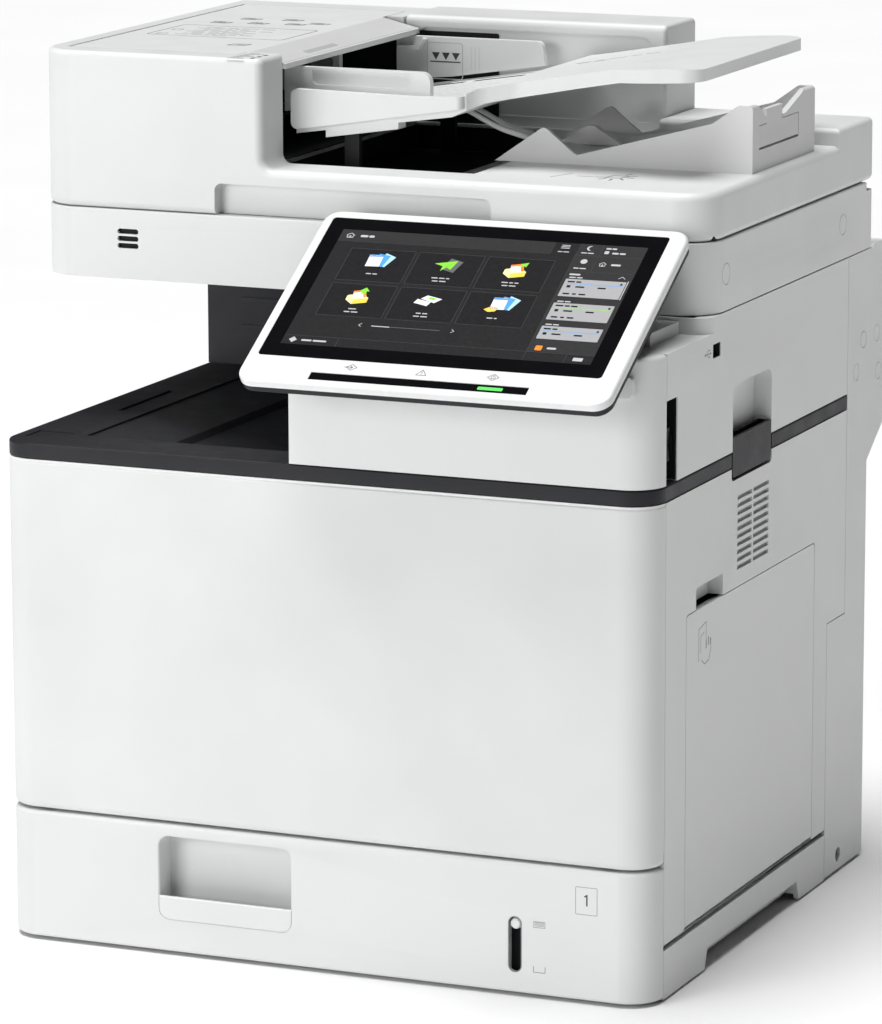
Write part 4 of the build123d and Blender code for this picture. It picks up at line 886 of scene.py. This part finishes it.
def supply_tray_marks():
    """Guide slots, arrows, ridges and size marks of the supply tray."""
    slots = [rect(-86, 372, -42, 381, 1.2), rect(-34, 372, 26, 381, 1.2), rect(-86, 200, -40, 209, 1.2),
             rect(-32, 200, 10, 209, 1.2)]
    # Near-black guide slots: painted shade where they open into the tray.
    flat_shapes("supply_guide_slots", slots, supply_surface, INKS["shade_black"], "supply_tray", "black_plastic",
           low=-0.5, high=0.05)
    arrows = [[(-28, 190), (-21, 193.5), (-28, 197)], [(14, 352), (21, 356), (14, 360)]]
    flat_shapes("supply_guide_arrows", arrows, supply_surface, INKS["grey_print_and_shade"], "supply_tray", "white_shell")
    ridges = [bar(-84, y, 28, y, 2.2) for y in (235, 258, 281, 304, 327, 350)]
    flat_shapes("supply_ridges", ridges, supply_surface, MATERIALS["white_shell"], "supply_tray", "white_shell",
           low=-0.2, high=0.22)

    def ramp(u, v, w):
        slope = math.atan2(19.0, 110.0)
        return place(u, v, 637.0 + (u - 54.0) * math.tan(slope) + w)
    dashes = words(74, 318, (13, 7, 16, 9, 12), 2.0, 3.0) + words(78, 312, (9, 12), 1.6, 3.0)
    flat_shapes("supply_size_marks", dashes, ramp, INKS["grey_print_and_shade"], "supply_tray", "white_shell",
           low=-0.1, high=0.1)


def rear_guide_marks():
    """Insert with its fill limit, and the grip grooves, on the rear document guide; the insert's pale
    outline and the grey grooves are painted shade.
    """
    face = facing_front(REAR_GUIDE_FACE)
    # Pale frame round the insert: painted shade in the groove about it.
    flat_shapes("rear_guide_insert", [], face, INKS["pale_print_and_shade"], "supply_guide_rear", "white_shell",
           low=-0.3, high=0.15, frames=[frame_of(-81, 613.6, -50.5, 642.6, 0.6, 2.5)])
    triangles = [[(u - 3.4, 634.6), (u, 628.8), (u + 3.4, 634.6)] for u in (-73.5, -65, -56.5)]
    flat_shapes("rear_guide_limit", triangles + [bar(-78.4, 627.4, -52.6, 627.4, 0.9)], face, INKS["ink_dark"],
           "supply_guide_rear", "white_shell", low=-0.1, high=0.1)
    # Grey strips for the grip grooves: painted shade in them.
    grooves = [rect(-44 + k * 3.4, 622, -42.9 + k * 3.4, 640, 0.4, 2) for k in range(3)]
    flat_shapes("rear_guide_grooves", grooves, face, MATERIALS["tray_grey"], "supply_guide_rear", "white_shell",
           low=-0.2, high=0.1)


def slab_mark():
    """Small sheet and rays printed on the feeder's slab."""
    rays = []
    for k in range(7):
        a = math.radians(200 + k * 38)
        c, s = math.cos(a), math.sin(a)
        rays.append(bar(163 + 9 * c, 176 + 11 * s, 163 + 15 * c, 176 + 19 * s, 1.6))
    rays += strokes([(156, 170), (168, 170), (171, 182), (159, 182)], 1.4, closed=True)
    rays += [bar(118, 158, 126, 182, 0.8), bar(134, 170, 148, 170, 1.2)]
    flat_shapes("slab_mark", rays, top_face(SLAB_TOP), INKS["ink_dark"], "feeder", "white_shell", **FILM)


def tube(bm, points, radius, sides=10):
    """Round bar along a few points in the machine's millimetres."""
    path = [place(*p) for p in points]
    rings = []
    for i, centre in enumerate(path):
        ahead = path[min(i + 1, len(path) - 1)] - path[max(i - 1, 0)]
        turn = ahead.to_track_quat("Z", "X")
        rings.append([bm.verts.new(centre + turn @ Vector((*on_circle(radius * MM, k, sides), 0)))
                      for k in range(sides)])
    for a, b in zip(rings, rings[1:]):
        for k in range(sides):
            bm.faces.new((a[k], a[(k + 1) % sides], b[(k + 1) % sides], b[k]))
    bm.faces.new(rings[0][::-1])
    bm.faces.new(rings[-1])


def smooth_path(points, steps=6):
    """Points along a curve through the given ones."""
    out = []
    padded = [points[0]] + list(points) + [points[-1]]
    for p0, p1, p2, p3 in zip(padded, padded[1:], padded[2:], padded[3:]):
        for s in range(steps):
            t = s / steps
            out.append(tuple(0.5 * (2 * b + (c - a) * t + (2 * a - 5 * b + 4 * c - d) * t * t
                                    + (3 * b - a - 3 * c + d) * t ** 3)
                             for a, b, c, d in zip(p0, p1, p2, p3)))
    out.append(points[-1])
    return out


def supply_arm():
    """Bent arms under the supply tray that steady it over the output well."""
    bm = bmesh.new()
    for y in (236, 252):
        bend = [(8, y, 617), (22, y, 611), (44, y + 2, 600), (62, y + 6, 594), (70, y + 12, 590.5)]
        tube(bm, smooth_path(bend), 2.1)
    tube(bm, smooth_path([(70, 230, 591), (70, 250, 590.6), (70, 270, 591)]), 2.6)
    finish_mesh("supply_tray_arms", bm, MATERIALS["tray_grey"], "supply_tray", 60)


# ---------------------------------------------------------------- fasteners and inner detail

def screw_head(bm, centre, normal, radius):
    """Pan head with a cross recess."""
    turn = Vector(normal).to_track_quat("Z", "Y")

    def at(x, y, z):
        return centre + turn @ Vector((x * MM, y * MM, z * MM))
    sides, height, recess = 20, 1.35, 0.75
    profile = [(radius, 0.0), (radius, 0.5), (radius * 0.82, 1.05), (radius * 0.5, height)]
    loops = [[bm.verts.new(at(*on_circle(r, k, sides), h)) for k in range(sides)] for r, h in profile]
    for a, b in zip(loops, loops[1:]):
        for k in range(sides):
            bm.faces.new((a[k], a[(k + 1) % sides], b[(k + 1) % sides], b[k]))
    arm, half = radius * 0.42, radius * 0.11
    cross = [(half, arm), (-half, arm), (-half, half), (-arm, half), (-arm, -half), (-half, -half),
             (-half, -arm), (half, -arm), (half, -half), (arm, -half), (arm, half), (half, half)]
    rim_loop = loops[-1]
    mouth = [bm.verts.new(at(x, y, height)) for x, y in cross]
    foot = [bm.verts.new(at(x, y, recess)) for x, y in cross]
    order = sorted(range(len(cross)), key=lambda i: math.atan2(cross[i][1], cross[i][0]) % (2 * math.pi))
    ordered = [mouth[i] for i in order]
    step = sides / len(ordered)
    for i in range(len(ordered)):
        j = (i + 1) % len(ordered)
        first, last = round(i * step), round((i + 1) * step)
        span = [rim_loop[k % sides] for k in range(first, last + 1)]
        bm.faces.new(span + [ordered[j], ordered[i]])
    for i in range(len(cross)):
        j = (i + 1) % len(cross)
        bm.faces.new((mouth[i], mouth[j], foot[j], foot[i]))
    bm.faces.new(foot[::-1])
    bm.faces.new(loops[0][::-1])


def screws(name, spots, normal, body, radius=3.2):
    bm = bmesh.new()
    for spot in spots:
        screw_head(bm, place(*spot), normal, radius)
    finish_mesh(name, bm, MATERIALS["pin_steel"], body, 35)


REAR_FACE = 470
FORWARD, BACKWARD = (0, -1, 0), (0, 1, 0)


def all_screws():
    spots = ((-238, 112), (-238, 358), (0, 110), (0, 358), (224, 112), (140, 358), (-238, 230), (120, 160))
    screws("front_plate_screws", [(x, 30, z) for x, z in spots], FORWARD, "chassis")
    spots = [(x, REAR_FACE, z) for x in (-248, 0, 248) for z in (16, 300)]
    screws("rear_cover_screws", spots, BACKWARD, "chassis")
    spots = [(x, 515, z) for x in (-248, -80, 80, 248) for z in (362, 470)]
    screws("rear_upper_screws", spots, BACKWARD, "chassis")
    screws("feeder_rear_screws", [(x, 478.6, 640) for x in (-90, 95)], BACKWARD, "feeder", 2.8)


def toner_details():
    """Printed band and arrow on the toner cartridge; their finishes glow, which is painted light."""
    face = facing_front(36)
    flat_shapes("toner_band", [rect(-196, 304, -104, 314, 2.0)], face, INKS["glow_grey"], "chassis",
           "inner_grey")
    arrow = [[(-150, 250), (-142, 242), (-147, 242), (-147, 238.6), (-153, 238.6), (-153, 242), (-158, 242)]]
    flat_shapes("toner_arrow", arrow, face, INKS["glow_white"], "chassis", "white_gloss")


def drawer_details():
    """Size scale on the lift plate and marks on the floor of the paper drawer."""
    ticks = [bar(60 + k * 12, 60, 60 + k * 12, 66 if k % 3 else 72, 0.9) for k in range(12)]
    flat_shapes("drawer_size_ticks", ticks, top_face(19.0), INKS["ink_dark"], "lift", "steel",
           low=-0.02, high=0.06)
    ticks = [bar(-200, 60 + k * 8, -196 if k % 3 else -190, 60 + k * 8, 0.9) for k in range(14)]
    flat_shapes("drawer_floor_marks", ticks, top_face(14.5), INKS["pale_print_and_shade"], "drawer", "inner_grey",
           low=-0.02, high=0.06)


def platen_scale():
    """Size ruler along the left and rear edge of the book glass."""
    housing_top = highs("scanner_housing")[2]
    ticks = [bar(-206, 182 + k * 10, -202.4 if k % 5 else -209.6, 182 + k * 10, 0.6) for k in range(22)]
    ticks += [bar(-198 + k * 10, 405, -198 + k * 10, 408 if k % 5 else 411.6, 0.6) for k in range(36)]
    ticks += [[(-207, 414), (-201, 414), (-204, 409)]]
    flat_shapes("platen_scale", ticks, top_face(housing_top), INKS["ink_dark"], "chassis", "white_shell", **FILM)


def rear_details():
    """Blank rating plate, interface sockets and a cover seam at the back; the socket mouths and the seam
    line are painted shade.
    """
    face = facing_back(REAR_FACE)
    flat_shapes("rating_plate", [rect(60, 40, 140, 78, 1.5)], face, INKS["pale_print_and_shade"], "chassis", "inner_grey",
           low=-0.05, high=0.25)
    lines = []
    for v, lengths in ((70, (22, 14, 18)), (64, (30, 20)), (58, (18, 12, 20))):
        lines += words(66, v, lengths, 1.4, 2.5)
    flat_shapes("rating_plate_lines", lines, facing_back(REAR_FACE + 0.25), INKS["grey_print_and_shade"], "chassis",
           "inner_grey", low=-0.02, high=0.06)
    frames = [frame_of(-226, 40, -196, 62, 1.4, 1.0), frame_of(-186, 44, -166, 58, 1.2, 1.0)]
    flat_shapes("interface_sockets", [], face, MATERIALS["pin_steel"], "chassis", "pin_steel",
           low=-0.4, high=0.9, frames=frames)
    # Painted shade inside the socket mouths.
    shade_lining("interface_mouths", [rect(-224.8, 41.2, -197.2, 60.8), rect(-184.9, 45.1, -167.1, 56.9)], face,
           low=-0.4, high=0.2)
    pins = [rect(-219 + k * 2.6, 52, -217.8 + k * 2.6, 59.6) for k in range(8)]
    flat_shapes("interface_contacts", pins, face, MATERIALS["pin_steel"], "chassis", "pin_steel",
           low=0.1, high=0.45)
    # Grey line along the cover seam: painted shade in the gap.
    flat_shapes("rear_cover_seam", [rect(-259.4, 319.4, 259.4, 320.0)], face, INKS["grey_print_and_shade"], "chassis",
           "white_shell", low=-0.3, high=0.03)


band_lip()
drawer_marks()
vent_shade()
switch_slot()
side_marks()
port_mouth()
seam_shadows()
louvre_shade_plate()
screen_tiles()
screen_icons()
screen_words()
screen_cards()
panel_lamps()
feeder_shade_faces()
feed_guides()
feeder_label()
cheek_marks()
feeder_lip()
supply_tray_marks()
rear_guide_marks()
slab_mark()
supply_arm()
all_screws()
toner_details()
drawer_details()
platen_scale()
rear_details()
